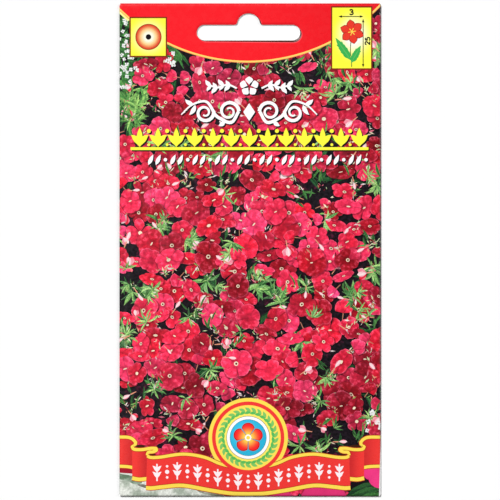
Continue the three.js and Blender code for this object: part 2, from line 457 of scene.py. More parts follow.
def bloom(at, radius):
    """Five petals and an eye, laid over a soft shadow of their own."""
    star = draws.random() ** 2  # how far the petals stand apart
    tilt = face_of_bloom(radius)
    spin = any_angle()
    pinkness = draws.beta(0.9, 0.9)
    tone = draws.choice([0.72, 0.88, 0.97, 1.04])
    # a bloom in the shade is a deeper red, and one in the light is a clearer pink
    base = blend("crimson", "rose", pinkness * min(tone, 1) ** 4) * tone * sunshine(at)
    half_angle = math.radians(41 - 5 * star)
    cut, power = 0.12 + 0.3 * star, 2.6 - 0.7 * star
    petals = []
    for k in range(5):
        axis = spin + full_turn * k / 5 + stray(0.07)
        rim = petal_rim(half_angle * between(0.92, 1.06), between(0.86, 1.07), cut, power)
        rim[1:-1] *= 1 + stray(0.02, (len(rim) - 2, 1))
        petals.append((tilt @ turn(axis), rim))
    whole = np.vstack([rim[1:-1:2] @ spread.T for spread, rim in petals])
    shadow(at + 1.1 * whole + petal_shade, 0.26)
    has_bright_edge = chance(0.45)
    for k in draws.permutation(5):
        spread, rim = petals[k]
        light = 1 + stray(0.05)
        tint = np.clip(blend(base, "rose", max(stray(0.15), 0)) * light, 0, 1)
        outline = petal_outline(rim, spread)
        if has_bright_edge:
            draw("petal", blend(tint, "blush", 0.28), at + outline, "blush", at, spread)
            outline = outline * bright_edge
        draw("petal", tint, at + outline, "blush", at, spread)
    eye(at, tilt)


def half_bloom(at, radius, aim):
    """A bloom seen from its side: three petals fanned over a pale tube."""
    tilt = turn(aim) @ np.diag([0.9, 0.62]) * radius
    base = blend("crimson", "rose", draws.random()) * sunshine(at)
    flat(ink["peach"] * 0.8, strip([at, at - 0.55 * tilt[:, 0]], [0.32, 0.2]))
    rim = petal_rim(math.radians(36), 1.0, 0.2, 2.2)
    for swing in (-0.85, 0.85, 0.0):
        spread = tilt @ turn(swing)
        tint = np.clip(base * (1 + stray(0.07)), 0, 1)
        outline = petal_outline(rim, spread)
        shadow(at + 1.08 * outline + 0.8 * petal_shade, 0.25)
        draw("petal", blend(tint, "blush", 0.35), at + outline, "blush", at, spread)
        draw("petal", tint, at + bright_edge * outline, "blush", at, spread)


def eye(at, tilt):
    """The pale ring round a bloom's throat, or just the stamens where the throat is hidden."""
    ring = ink["cream"] * between(0.88, 1.0)
    look = draws.random()
    if look < 0.08:  # hidden altogether
        return
    if look < 0.42:  # only stamens
        aim = turn(0.3 + stray(0.5))
        length = between(0.4, 0.7)
        flat(ring, at + disc((0, 0), 1, 8) * (length, between(0.14, 0.24)) @ aim.T)
        return
    flat(ring, at + disc((0, 0), 0.14, 9) @ tilt.T)
    if look < 0.88:  # the others are shut
        throat = blend("olive", "ruby", draws.random() * 0.7)
        flat(throat, at + disc((0.01, 0), 0.075, 7) @ tilt.T)


# %% Buds, leaf tufts and the teeth round young buds
def leaf(base, tip, width, first, second, bend):
    ahead = np.asarray(tip) - np.asarray(base)
    length = np.hypot(*ahead)
    ahead = ahead / length
    spread = np.stack([ahead, left_of(ahead)], 1) @ np.diag([length, width / 2])
    draw("leaf", first, leaf_outline(base, tip, width, bend, 4), second, base, spread)


def folded_petal(base, aim, length, width, first, second):
    tip = base + length * heading(aim)
    spread = turn(aim) @ np.diag([length, width / 2])
    draw("bud", first, leaf_outline(base, tip, width, 0.03, 5, 0.6), second, base, spread)


def bud(at, length, aim):
    """A bud, or an open bloom seen from its side, on its tube."""
    start = at + 0.5 * length * heading(aim)
    flat("peach", strip([at, start], [0.06 * length, 0.11 * length]))
    if chance(0.6):
        folded_petal(start, aim, 0.8 * length, 0.34 * length, "bud white", "bud pink")
        return
    for swing, first, second in ((-0.5, "bud pink", "bud white"), (0.5, "crimson", "blush"),
                                 (0.0, "bud white", "bud pink")):
        folded_petal(start, aim + swing, 0.8 * length, 0.5 * length, first, second)


def in_corner(place):
    """The upper left of the bed lies in the shade, where small white flowers grow."""
    x, y = place
    return (x < -35.5 and y > 50) or (x < -17 and y > 54)


def tuft(at, size, leaves, light=0.5, slim=0.2):
    """Narrow leaves that fan out from one point, some of them in the light."""
    edge = "pale leaf"
    if in_corner(at):
        light, edge = 0.1, "grass"
    elif at[0] < -30 and at[1] > 36:
        edge = "lime"
    start = any_angle()
    fan = between(2.2, full_turn)
    for k in range(leaves):
        aim = start + fan * k / leaves + stray(0.2)
        length = size * between(0.55, 1.1)
        if chance(light):
            first = blend("grass", "lime", draws.random() * 1.4)
        else:
            first = blend("ivy", "grass", draws.random())
        tip = at + length * heading(aim)
        leaf(at, tip, length * slim * between(0.7, 1.3), first, edge, stray(0.08))


def teeth(at, size, count):
    """Short pale ticks: the hairy calyx teeth round young buds, and loose stamens."""
    tones = ["lime", "pale leaf", "pale leaf", "bud white", "bud pink", "peach", "cream", "ruby"]
    for _ in range(count):
        start = at + stray(size * 0.5, 2)
        way = between(0.4, 1.1) * size * heading(any_angle())
        bulge = left_of(way) * between(0.08, 0.16)
        tone = ink[tones[some(len(tones))]] * between(0.8, 1.0)
        flat(tone, [start, start + way / 2 + bulge, start + way, start + way / 2 - bulge])


def small_white_flower(at, radius):
    spin = between(0, math.pi)
    for k in range(4):
        middle = at + 0.56 * radius * heading(spin + k * math.pi / 2 + stray(0.2))
        petal = disc(middle, radius * between(0.34, 0.5), 6)
        flat(ink["white"] * between(0.86, 1.0), petal)
    flat(ink["lime"] * 0.8, disc(at, radius * 0.18, 5))


def near_petals(at, radius, spin, tone):
    """Part of a bloom so near that its petals are plain and out of focus."""
    rim = petal_rim(math.radians(40), radius, 0.16, 2.4)
    for k in range(5):
        spread = turn(spin + full_turn * k / 5)
        outline = at + petal_outline(rim, spread)
        shadow(at + 1.04 * (outline - at), 0.2)
        glow(tone, outline, tone * 0.86, at + radius * 0.6 * spread[:, 0], radius)


# %% [markdown]
# ## The flower bed
# The bed is laid from the ground upwards: dark ground, leaves in the shade, then blooms thrown
# at random. A bloom that would cover too much of another, or a gap in the bed, is thrown again.
# Blooms lower down are nearer, so they are larger and lie over the ones above them.

# %% Ground, gaps and blooms
bed_low, bed_high, bed_side = -76.0, 70.0, 41.0
near_radius, far_radius = 4.9, 4.3
closest = 0.48  # how near two blooms may come, as a share of their radii
gap_margin = 0.66  # how far a bloom keeps out of a gap, as a share of its radius
throws, undergrowth, corner_tufts = 7000, 260, 22
side_view_share = 0.12  # of the blooms
bud_share, teeth_share, tuft_share = 0.26, 0.62, 0.13  # of them, with these close beside
leafy_places = [  # x, y and how far they reach
    (-40, 68, 4), (-40, 60, 4), (-40, 52, 4), (-38, 45, 4.6), (-33, 44, 3.2), (-36, 40, 2.5),
    (40, 60, 3), (-23, 62, 2.6), (-22, 32, 1.8), (38, 20, 2), (-27, 7, 1.4), (-17, 2, 1.8),
    (38, -6, 3), (-37, -12, 2.6), (-31, -14, 1.6), (-12, -10, 3), (2, -11, 1.6), (8, -15, 3),
    (31, -14, 1.6), (-38, -26, 2.6),
]
dark_places = [
    (-20, 58, 1.8), (-3, 56, 1.8), (12, 56, 2.0), (22, 57, 2.2), (17, 50, 2.8), (27, 47, 1.8),
    (32, 51, 1.2), (22, 33, 2.6), (21, 21, 2.4), (17, 16, 1.4), (-20, 21, 2.6), (-7, 20, 2.2),
    (32, 21, 1.8), (-7, 2, 1.4), (37, 2, 1.6), (17, -11, 2.0), (-17, -19, 1.6), (-12, -24, 1.2),
    (37, -23, 1.6), (-7, -30, 2.2), (-12, -38, 1.9), (24, -38, 2.2), (-30, -42, 3.2),
    (-37, -47, 2.4), (21, -46, 2.4), (37, -50, 2.0), (-24, -56, 2.2), (19, -54, 2.4),
    (26, -58, 4.0), (34, -58, 3.0), (20, -62, 2.0), (35, -73, 3),
]


def apart(place, other):
    return np.hypot(*(place - other))


def throw_blooms(gaps):
    blooms = []
    for _ in range(throws):
        place = np.array([between(-bed_side, bed_side), between(bed_low, bed_high)])
        share = (place[1] - bed_low) / (bed_high - bed_low)
        radius = (near_radius + (far_radius - near_radius) * share) * between(0.74, 1.07)
        clear = all(apart(place, p) > closest * (radius + r) for p, r in blooms)
        if clear and all(apart(place, p) > r + gap_margin * radius for p, r in gaps):
            blooms.append((place, radius))
    return sorted(blooms, key=lambda thrown: -thrown[0][1] + stray(5))


def beside(place, radius):
    return place + radius * between(0.8, 1.1) * heading(any_angle())


def fill_gap(place, leafy):
    """Loose leaves in the shade, then tufts, teeth and buds in the light."""
    for _ in range(some(3, 7)):
        base = place + stray(1.6, 2)
        tip = base + between(2.5, 5.0) * heading(math.pi / 2 + stray(0.7))
        tone = blend("ivy", "grass", draws.random() * 0.8)
        leaf(base, tip, between(0.5, 1.0), tone, "lime", stray(0.1))
    for _ in range(2 if leafy else some(0, 2)):
        at = place + stray(1.0, 2)
        tuft(at, between(3.0, 5.0), some(7, 13), 0.8, 0.17)
    if in_corner(place):
        return
    if chance(0.75):
        teeth(place + stray(1.2, 2), between(1.2, 2.2), some(6, 16))
    if chance(0.5):
        bud(place + stray(1.2, 2), between(2.4, 4.2), any_angle())


def leaves_in_the_shade(leafy_gaps):
    for _ in range(undergrowth):
        place = np.array([between(-40, 40), between(-75, 66)])
        length = between(3.0, 6.5)
        tip = place + length * heading(any_angle())
        tone = blend("shade green", "ivy", draws.random()) * between(0.75, 1.2)
        leaf(place, tip, length * between(0.18, 0.3), tone, "grass", stray(0.1))
    for _ in range(corner_tufts):
        place = np.array([between(-41, -32), between(40, 74)])
        tuft(place, between(3, 6), some(5, 10), 0.75)
    for place, _ in leafy_gaps:
        tuft(place + stray(0.8, 2), between(4.0, 6.5), some(7, 13))


def flower_bed():
    draw("ground", "night", box(-43, -79, 43, 79), "plum")
    gaps = [(np.array((x, y)), radius) for x, y, radius in leafy_places + dark_places]
    leaves_in_the_shade(gaps[:len(leafy_places)])
    blooms = throw_blooms(gaps)
    for place, radius in blooms:
        if chance(side_view_share):
            half_bloom(place, radius, any_angle())
        else:
            bloom(place, radius)
        if chance(bud_share):
            bud(beside(place, radius), between(2.2, 4.2), any_angle())
        if chance(teeth_share):
            teeth(beside(place, radius), between(1.2, 2.2), some(4, 12))
        if chance(tuft_share):
            tuft(beside(place, radius), between(2.6, 5.0), some(6, 12), 0.8, 0.17)
    for k, (place, _) in enumerate(gaps):
        fill_gap(place, k < len(leafy_places))
    return len(blooms)


print("blooms in the bed:", flower_bed(), "shapes so far:", len(collage))

# %% Small white flowers, a stone and near petals at the edges of the bed
white_clusters = [(x, y, 4, 0.5, 0.8) for x, y in (  # x, y, how many, the smallest, the largest
    (-37.6, 70.4), (-38.9, 67), (-38, 63.8), (-39.2, 60.6), (-38.2, 57.6), (-36.6, 55.8),
    (-39, 54), (-37.6, 51.4), (-39.2, 50),
)] + [(-23.4, 58.4, 7, 0.6, 0.9)]


def white_flowers():
    for x, y, count, smallest, largest in white_clusters:
        for _ in range(count):
            place = np.array([x, y]) + stray(1.1, 2)
            small_white_flower(place, between(smallest, largest))
    for _ in range(6):
        place = np.array([between(34, 40), between(-57, -49)])
        small_white_flower(place, between(0.7, 0.95))


def stone_at_the_foot():
    rim = [(-43, -66.4), (-37, -67.6), (-34, -69.6), (-30, -71.3), (-24, -72.5), (-16, -73.4),
           (-8, -75.2), (-5, -77.5)]
    stone = np.vstack([[(-43, -77.5)], flowing(rim, 5)[::-1]])[::-1]
    draw("stone", "stone", stone, "wet stone")
    patches = (  # where, how large, and the ink and its share in the wet stone
        ((-38.3, -69.6), (3.4, 1.0), "ivy", 0.3), ((-35.2, -70.9), (2.2, 0.8), "ivy", 0.3),
        ((-32.4, -72.3), (2.2, 0.5), "plum", 0.25), ((-12.5, -74.4), (4.5, 0.7), "olive", 0.3),
    )
    for at, size, tone, share in patches:
        patch = disc((0, 0), 1, 14) * (1 + stray(0.12, (14, 1))) * size @ turn(-0.25).T
        draw("stone", blend("wet stone", tone, share), at + patch, "stone")
    flat(ink["ruby"] * 1.15, [(-43, -68), (-36, -68.5), (-34, -69.3), (-34, -66), (-43, -66)])


def near_blooms():
    deep = blend("magenta", "ruby", 0.16)
    near_petals(np.array([22.5, -79.5]), 8.5, 0.9, deep)
    near_petals(np.array([9.0, -80.0]), 7.0, 0.3, deep)
    flat("night", [(29, -79), (31.5, -68), (41, -68), (41, -79)])
    for base, tip, width, share in (((29, -75.6), (42, -71.6), 2.6, 0.0),
                                    ((30, -76.6), (42, -73), 2.4, 0.3),
                                    ((31, -78), (42, -74.8), 2.2, 0.7)):
        leaf(base, tip, width, blend("shade green", "grass", share), "grass", 0.08)
    near_petals(np.array([40.5, -66.5]), 6.6, 2.0, ink["magenta"])


white_flowers()
stone_at_the_foot()
near_blooms()
print("shapes so far:", len(collage))

# %% [markdown]
# ## The header and its signs
# The header is a red field that ends in an arc with a yellow line. Its left sign says full sun,
# with a plain disc. Its right sign shows a six-petalled flower with two arrows and two plain
# numbers: how wide and how high the plant grows. The digits are strokes, like a sign writer's.

# %% Red field and arc
header_centre, header_radius = np.array([-0.7, 113.72]), 55.8
field_half, field_top = 42.0, 92.0
arc_line, arc_line_rim = 0.46, 0.66  # how far the yellow line and its own rim stand out
glint_reach = 1.25  # a pale strip lies on the left end of the arc, between these angles
glint_start, glint_end, glint_foot = -2.4, -2.27, -2.26


def above_arc(radius):
    reach = math.asin(field_half / radius)
    rim = arc(header_centre, radius, -math.pi / 2 - reach, -math.pi / 2 + reach, 41)
    return np.vstack([rim, [(field_half, field_top), (-field_half, field_top)]])


def header():
    outer = arc(header_centre, header_radius + glint_reach, glint_start, glint_end, 5)
    inner = arc(header_centre, header_radius, glint_foot, glint_start, 5)
    flat(blend("lemon", "white", 0.45), np.vstack([outer, inner]))
    flat(blend("amber", "signal red", 0.3), above_arc(header_radius + arc_line_rim))
    flat("amber", above_arc(header_radius + arc_line))
    glow("signal red", above_arc(header_radius), "brick red", (-16, 70), 62)


def bruised_slot():
    """The punch leaves a pale burr along the lower right of the slot, and a dark line painted beside it
    stands for the shade under the cut edge.
    """
    swing = turn(-0.01).T
    # a pale burr of bare paper, then a dark line of painted shade
    for tone, grown, aside in ((blend("signal red", "white", 0.22), 0.2, (0.46, -0.46)),
                               (ink["rust"] * 0.6, 0.12, (0.34, -0.33))):
        flat(tone, slot_outline(grown) @ swing + slot_at + aside)


def board(outer, inner, pale, at, reach):
    """A sign's board: a dark line round a pale field that is more yellow towards its edges."""
    flat("rust", box(*outer))
    glow(pale, box(*inner), "lemon", at, reach)


def sun_sign():
    centre = np.array([-31.12, 65.2])
    board((-36.95, 59.0, -25.42, 71.35), (-36.53, 59.42, -25.84, 70.93),
          blend("lemon", "white", 0.8), centre, 7.2)
    flat(blend("brown", "orange", 0.4), disc(centre, 4.0, 40))
    for radius in np.linspace(3.8, 1.4, 13):
        outwards = np.interp(radius, (1.4, 2.5, 3.8), (0, 1, 2))
        tone = blend(blend("ivory", "apricot", min(outwards, 1)), "orange", max(outwards - 1, 0))
        flat(tone, disc(centre, radius, 36))
    flat("night", disc(centre, 0.85, 16))


# %% Digits and arrows
strokes = {
    "0": [[(0.35, 1), (0.66, 0.8), (0.66, 0.2), (0.35, 0), (0.04, 0.2), (0.04, 0.8), (0.35, 1)]],
    "1": [[(0.1, 0.74), (0.26, 0.84), (0.4, 1)], [(0.4, 1), (0.4, 0)]],
    "2": [[(0.06, 0.72), (0.2, 0.96), (0.54, 0.98), (0.68, 0.72), (0.44, 0.4), (0.06, 0.03)],
          [(0.02, 0.05), (0.72, 0.05)]],
    "3": [[(0.1, 0.8), (0.32, 1), (0.62, 0.9), (0.66, 0.66), (0.34, 0.53)],
          [(0.3, 0.53), (0.7, 0.42), (0.72, 0.14), (0.38, 0), (0.06, 0.16)]],
    "4": [[(0.52, 0), (0.52, 1)], [(0.52, 1), (0.02, 0.3)], [(0.02, 0.3), (0.72, 0.3)]],
    "5": [[(0.66, 0.95), (0.18, 0.95)], [(0.2, 0.98), (0.12, 0.5)],
          [(0.12, 0.5), (0.42, 0.64), (0.7, 0.42), (0.6, 0.08), (0.3, 0), (0.04, 0.14)]],
    "6": [[(0.6, 0.95), (0.25, 0.8), (0.04, 0.35), (0.2, 0.02), (0.55, 0.04), (0.68, 0.3),
           (0.5, 0.55), (0.1, 0.45)]],
    "7": [[(0.04, 0.95), (0.7, 0.95)], [(0.7, 0.95), (0.42, 0.5), (0.26, 0)]],
    "8": [[(0.35, 0.53), (0.08, 0.76), (0.35, 1), (0.62, 0.76), (0.35, 0.53)],
          [(0.35, 0.53), (0.02, 0.26), (0.35, 0), (0.68, 0.26), (0.35, 0.53)]],
    "9": [[(0.6, 0.55), (0.2, 0.45), (0.04, 0.72), (0.2, 0.98), (0.52, 0.97), (0.66, 0.65),
           (0.5, 0.2), (0.15, 0.03)]],
}
digit_step, digit_gap = 0.86, 0.14
sign_line, head = 0.25, 1.1  # the width of an arrow's line and the length of its head


def number(text, at, height, angle, weight):
    """Plain digits, centred on a point."""
    middle = np.array([(digit_step * len(text) - digit_gap) / 2, 0.5])
    for k, digit in enumerate(text):
        for stroke in strokes[digit]:
            path = flowing(stroke, 4) if len(stroke) > 2 else stroke
            outline = strip(path, weight) + (digit_step * k, 0) - middle
            flat("night", at + height * outline @ turn(angle).T)


def double_arrow(start, end):
    start, end = np.asarray(start, float), np.asarray(end, float)
    way = (end - start) / np.hypot(*(end - start))
    side = left_of(way) * head * 0.34
    flat("night", strip([start + way * head / 2, end - way * head / 2], sign_line))
    for tip, inward in ((start, way), (end, -way)):
        flat("night", [tip, tip + inward * head - side, tip + inward * head + side])


# %% The sign with the plant's size
leaf_line = 0.18
first_petal, petal_step = 100, 60  # degrees


def outlined_petal(base, tip, width, tone):
    """A petal with a thin darker line round it."""
    ahead = (tip - base) / apart(tip, base)
    line = leaf_outline(base, tip + ahead * leaf_line, width + 2 * leaf_line, 0, 8, 0.6)
    flat(blend(tone, "night", 0.4), line)
    flat(tone, leaf_outline(base, tip, width, 0, 8, 0.6))


def serrated_leaf(base, tip, width, tone):
    """A leaf with teeth along both of its sides, which all point to its tip."""
    base, tip = np.asarray(base, float), np.asarray(tip, float)
    along = tip - base
    across = left_of(along) / np.hypot(*along)
    flat(tone, leaf_outline(base, tip, width))
    for share in (0.1, 0.25, 0.4, 0.55):
        for side in (-1, 1):
            root = base + along * share
            reach = 0.56 - 0.35 * abs(share - 0.25)
            point = root + along * 0.22 + side * across * width * reach
            flat(tone, leaf_outline(root, point, width * 0.36, 0, 5))
    flat(blend(tone, "lime", 0.35), leaf_outline(base, tip, width * 0.16))


def size_sign():
    board((24.74, 55.18, 37.45, 74.6), (25.15, 55.6, 37.03, 74.17), "white", (31.6, 65.6), (7.2, 8.8))
    double_arrow((27.0, 71.45), (34.7, 71.45))
    double_arrow((34.6, 70.8), (34.6, 55.8))
    number("3", np.array([30.9, 72.8]), 1.55, 0.0, 0.27)
    number("25", np.array([35.95, 63.9]), 1.45, math.pi / 2, 0.27)
    stem = flowing([(30.9, 64.4), (30.7, 61), (31, 58.5), (31.1, 56)], 4)
    flat(blend("emerald", "olive", 0.6), strip(stem, sign_line))
    serrated_leaf((30.9, 58.0), (26.1, 65.0), 2.2, "emerald")
    serrated_leaf((30.9, 57.2), (33.9, 62.6), 2.0, "emerald")
    centre = np.array([31.2, 66.8])
    petals = [math.radians(first_petal + petal_step * k) for k in range(6)]
    for aim in petals:
        outlined_petal(centre, centre + 3.65 * heading(aim), 2.3, "scarlet")
    for aim in petals:
        stamen = heading(aim - math.radians(petal_step / 2))
        flat("yolk", strip([centre, centre + 1.2 * stamen], 0.24))


header()
# the slot's pale burr and its line of painted shade
bruised_slot()
sun_sign()
size_sign()
print("shapes so far:", len(collage))

# %% [markdown]
# ## Ornament under the header
# Four rows of printer's ornament stand over the bed: a sprig, a scroll, a yellow border of
# palmettes and a small border of leaves. Each shape has a dark drop shadow, down to the right.

# %% Four rows of ornament
ornament_middle = -0.3
drop = np.array([0.4, -0.44])  # how far the dark shadow falls
upwards = math.pi / 2


def raised(outlines, tone, fall=drop):
    for outline in outlines:
        flat("night", outline + fall)
    for outline in outlines:
        flat(tone, outline)


def both_sides(outlines):
    return outlines + [mirrored(outline, ornament_middle) for outline in outlines]


def sprig_row(height):
    middle = np.array([ornament_middle, height])
    petals = []
    for k in range(5):
        way = heading(upwards + full_turn * k / 5)
        petals.append(leaf_outline(middle + 0.5 * way, middle + 3.0 * way, 2.4, 0, 6, 0.6))
    stem = flowing(middle + [(3.8, -0.6), (6.6, 0.5), (9.6, -0.4), (12.4, 0.4)], 6)
    side = [strip(stem, 0.55)]
    for base, up in zip(stem[4:17:4], (-1, 1, -1, 1)):
        side.append(leaf_outline(base, base + (1.9, 1.9 * up), 1.3, -0.1 * up, 5))
        side.append(leaf_outline(base, base + (1.5, -1.6 * up), 1.05, 0.1 * up, 5))
    raised(petals + both_sides(side), "white")


def scroll_row(height):
    middle = np.array([ornament_middle, height])
    diamond = middle + np.array([(0, -2.7), (1.8, 0), (0, 2.7), (-1.8, 0)])
    side = []
    for centre, size, flip in ((middle + (6.2, 0.2), 3.1, 1), (middle + (13.6, -0.2), 2.8, -1)):
        angle = np.linspace(0, 2.7 * math.pi, 26)
        distance = size * (1 - 0.72 * angle / angle[-1])
        curl = centre + np.stack([-distance * np.cos(angle), flip * distance * np.sin(angle)], 1)
        side.append(strip(curl, np.linspace(1.1, 0.5, 26)))
    side.append(strip(flowing(middle + [(3.2, 0.2), (5.5, -3.2), (9.2, -1.8), (10.9, -0.3)], 6), 0.95))
    tail = flowing(middle + [(10.6, -0.3), (13.2, 3.2), (17.5, 2.2), (20.8, -0.8)], 6)
    side.append(strip(tail, np.linspace(0.95, 0.35, len(tail))))
    for base, tip in (((17, 2.3), (19.6, 3.9)), ((16.5, 2.2), (18.4, -0.9)), ((7.5, -2.8), (9.4, -4.2))):
        side.append(leaf_outline(middle + base, middle + tip, 1.35, -0.1, 5))
    raised([diamond] + both_sides(side), "white")


def palmette_row(height, left=-36.6, right=36.2, count=13):
    outlines = [strip([(left, height - 3.2), (right, height - 3.2)], 0.9)]
    step = (right - left) / count
    for k in range(count):
        foot = np.array([left + step * (k + 0.5), height - 2.7])
        for swing, length in ((0, 5.9), (-0.62, 4.6), (0.62, 4.6)):
            tip = foot + length * heading(upwards + swing)
            outlines.append(leaf_outline(foot, tip, 1.75, 0.1 * np.sign(-swing), 6, 0.55))
        if k < count - 1:
            outlines.append(disc(foot + (step / 2, 4.9), 0.62, 12))
            outlines.append(disc(foot + (step / 2, 0.7), 0.45, 10))
    raised(outlines, "lemon")


def leaf_row(height, left=-31.6, right=36.6, count=30):
    outlines = []
    for k in range(count):
        place = np.array([left + (right - left) * (k + 0.5) / count, height])
        if k % 3 == 2:
            outlines.append(disc(place, 0.55, 10))
        else:
            outlines.append(leaf_outline(place + (-0.7, -1.6), place + (0.8, 1.6), 1.25, 0.0, 5))
    raised(outlines, "white", drop * 0.8)


sprig_row(50.1)
scroll_row(42.2)
palmette_row(34.2)
leaf_row(27.6)
print("shapes so far:", len(collage))

# %% [markdown]
# ## The medallion and the ribbon
# At the foot a red ribbon with yellow edges runs behind a round medallion. The ribbon has a
# main band, a fold at each side and two tails. Its right half mirrors its left half, so only
# the left half is described. A simple five-petalled blossom and a wreath fill the medallion.

# %% The ribbon
ribbon_middle = -0.6
edge_width, foot_width, edge_line = 0.95, 1.15, 0.2
edge_brown = blend("rust", "orange", 0.5)


def on_both_sides(finish, first, outline, second=None, at=(0, 0), spread=upright):
    draw(finish, first, outline, second, at, spread)
    outline = mirrored(outline, ribbon_middle)
    at = (2 * ribbon_middle - at[0], at[1])
    draw(finish, first, outline, second, at, np.diag([-1, 1]) @ spread)


def ribbon_edge(path, width=edge_width):
    """A yellow edge with a thin dark line along both of its sides."""
    on_both_sides("flat", edge_brown, strip(path, width + 2 * edge_line))
    on_both_sides("flat", "yolk", strip(path, width))


def ribbon_ends():
    tail_top = flowing([(-43, -57.4), (-38, -57.3), (-36.1, -57.8), (-35, -58.9)], 5)
    tail_foot = flowing([(-43, -66.6), (-38, -66.7), (-35, -67.2)], 4)
    tail = np.vstack([tail_foot, [(-35, -60.5)], tail_top[::-1]])
    on_both_sides("glow", "band red", tail, "band shade", (-42, -62), np.diag([7.5, 30]))
    curl = flowing([(-35, -58.9), (-35.3, -59.8), (-36.1, -60.3), (-35.9, -61.1)], 4)
    ribbon_edge(np.vstack([tail_top[:-1], curl]))
    ribbon_edge(tail_foot + (0, 0.4))
    fold_top = flowing([(-36.1, -60.2), (-35.5, -61), (-33, -61.1), (-30.5, -60.7), (-28.8, -60.7)], 5)
    fold_foot = flowing([(-36.1, -70.2), (-34, -70.6), (-31.6, -70.4)], 4)
    fold_face = np.vstack([fold_foot, [(-31.6, -63.2), (-28.4, -61.6)], fold_top[::-1]])
    on_both_sides("glow", "band red", fold_face, "band shade", (-36.1, -66), np.diag([5.0, 30]))
    on_both_sides("flat", "brown", leaf_outline((-35.4, -60.1), (-31.4, -60.0), 0.9))
    on_both_sides("flat", "brown", leaf_outline((-31.4, -62.6), (-28.6, -62.6), 0.8))
    curl = flowing([(-28.8, -60.7), (-28.7, -61.3), (-29.8, -61.8), (-31.1, -61.9), (-31.5, -62.9)], 4)
    ribbon_edge(np.vstack([fold_top[:-1], curl]))
    ribbon_edge(fold_foot + (0, 0.35), foot_width)


def whole_width(left_half):
    return np.vstack([left_half, mirrored(left_half, ribbon_middle)[1:]])


def ribbon_band():
    top = whole_width(flowing([
        (-31.5, -63), (-30.4, -63.5), (-27.5, -63.4), (-20.5, -62.45), (-14, -63.4), (-8.5, -65.6),
        (ribbon_middle, -67.2),
    ], 6))
    foot = whole_width(flowing([
        (-31.9, -72.9), (-30, -73), (-26.5, -72.6), (-20.5, -72.2), (-12.5, -73.6), (-6, -74.6),
        (ribbon_middle, -74.8),
    ], 6))
    flat("band red", np.vstack([foot, top[::-1]]))
    for tone, line in ((edge_brown, 2 * edge_line), ("yolk", 0)):
        flat(tone, strip(top, edge_width + line))
        flat(tone, strip(foot + (0, 0.1), foot_width + line))


def ribbon_border(count=19, half=27.9):
    """Upright sprigs and dots along the middle of the band."""
    middles = np.array([(0, -70.9), (6, -70.6), (12, -69), (20, -67.5), (26, -68), (31, -68.4)])
    pale = blend("white", "blush", 0.12)
    for k, x in enumerate(np.linspace(ribbon_middle - half, ribbon_middle + half, count)):
        y = np.interp(abs(x - ribbon_middle), middles[:, 0], middles[:, 1])
        if k % 2:
            for up, radius, points in ((0, 0.65, 12), (-1.7, 0.4, 10), (1.7, 0.4, 10)):
                flat(pale, disc((x, y + up), radius, points))
            continue
        flat(pale, strip([(x, y - 2.6), (x, y + 2.7)], 0.45))
        for side in (-1, 1):
            for foot in (-1.7, 0.1):
                tip = (x + 1.4 * side, y + foot + 2)
                flat(pale, leaf_outline((x, y + foot), tip, 0.95, 0.12 * side, 5))


# %% The medallion
medallion = np.array([ribbon_middle, -57.4])
wreath_radius, wreath_leaves = 8.1, 30


def medallion_disc(tone, radius, points):
    flat(tone, disc(medallion, radius, points))


def medallion_face():
    medallion_disc("band red", 11.05, 64)
    glow(blend("lemon", "white", 0.3), disc(medallion, 9.95, 60), "yolk", medallion, 12)
    for k in range(wreath_leaves):
        around = full_turn * k / wreath_leaves
        base = medallion + wreath_radius * heading(around)
        for lean, pale_share in ((0.45, 0.35), (-0.45, 0.75)):
            tip = base + 2.2 * heading(around + math.pi / 2 + lean)
            flat(blend("emerald", "lime", pale_share), leaf_outline(base, tip, 1.0, 0, 5))
    medallion_disc(blend("night", "white", 0.35), 6.65, 48)
    medallion_disc("white", 6.5, 48)
    medallion_disc(blend("night", "sky", 0.5), 5.62, 44)
    glow(blend("sky", "white", 0.1), disc(medallion, 5.5, 44), ink["sky"] * 0.9, medallion + (-1, 1), 6)


def medallion_blossom():
    for k in range(5):
        spread = turn(math.radians(90 + 72 * k))
        back = petal_outline(petal_rim(math.radians(34), 4.6, 0.22, 2.2), spread)
        front = petal_outline(petal_rim(math.radians(31), 4.3, 0.22, 2.2), spread)
        flat(ink["scarlet"] * 0.75, medallion + back)
        glow("yolk", medallion + front, "signal red", medallion, 4.3)
    medallion_disc("white", 1.0, 14)
    medallion_disc("yolk", 0.6, 12)


ribbon_ends()
medallion_disc("yolk", 12.15, 64)
ribbon_band()
ribbon_border()
medallion_face()
medallion_blossom()
print("shapes so far:", len(collage))

# %% [markdown]
# ## The back and the unprinted margins
# The print of the front sits slightly askew on the blank. It bleeds a little over the folds,
# and only at the foot of the right fold does it fall short, so that a white sliver shows. The
# lap, most of the back and the flap at the foot stay white. The back carries a plain planting
# calendar: twelve numbered months, with the sowing months in green and the flowering months in
# red.

# %% Back, flaps and margins
bleed = 1.6
off_left, off_right, off_end, foot_end = -60, 130, 100, -78  # past the edges of the blank
right_bleeds = ((1.7, off_end), (0.3, -55), (-0.42, foot_end))  # past the fold, at what height
left_bleeds = ((2.5, -off_end), (0.7, off_end))
months = 12
sowing_months, flowering_months = (3, 4, 5), (6, 7, 8, 9)
cell_line, cell_gap = 0.3, 0.15


def back_box(left, bottom, right, top):
    return box(back_place(right), bottom, back_place(left), top)


def calendar(left=-26.0, right=30.0, bottom=4.0, cell_height=6.0):
    step = (right - left) / months
    top = bottom + cell_height
    flat("brown", back_box(left - cell_line, bottom - cell_line, right + cell_line, top + cell_line))
    for month in range(1, months + 1):
        from_right = right - step * month
        tone = "white"
        if month in sowing_months:
            tone = blend("emerald", "white", 0.35)
        if month in flowering_months:
            tone = blend("rose", "white", 0.35)
        flat(tone, back_box(from_right + cell_gap, bottom, from_right + step - cell_gap, top))
        middle = np.array([back_place(from_right + step / 2), bottom + cell_height / 2])
        number(str(month), middle, 2.2, 0.0, 0.14)


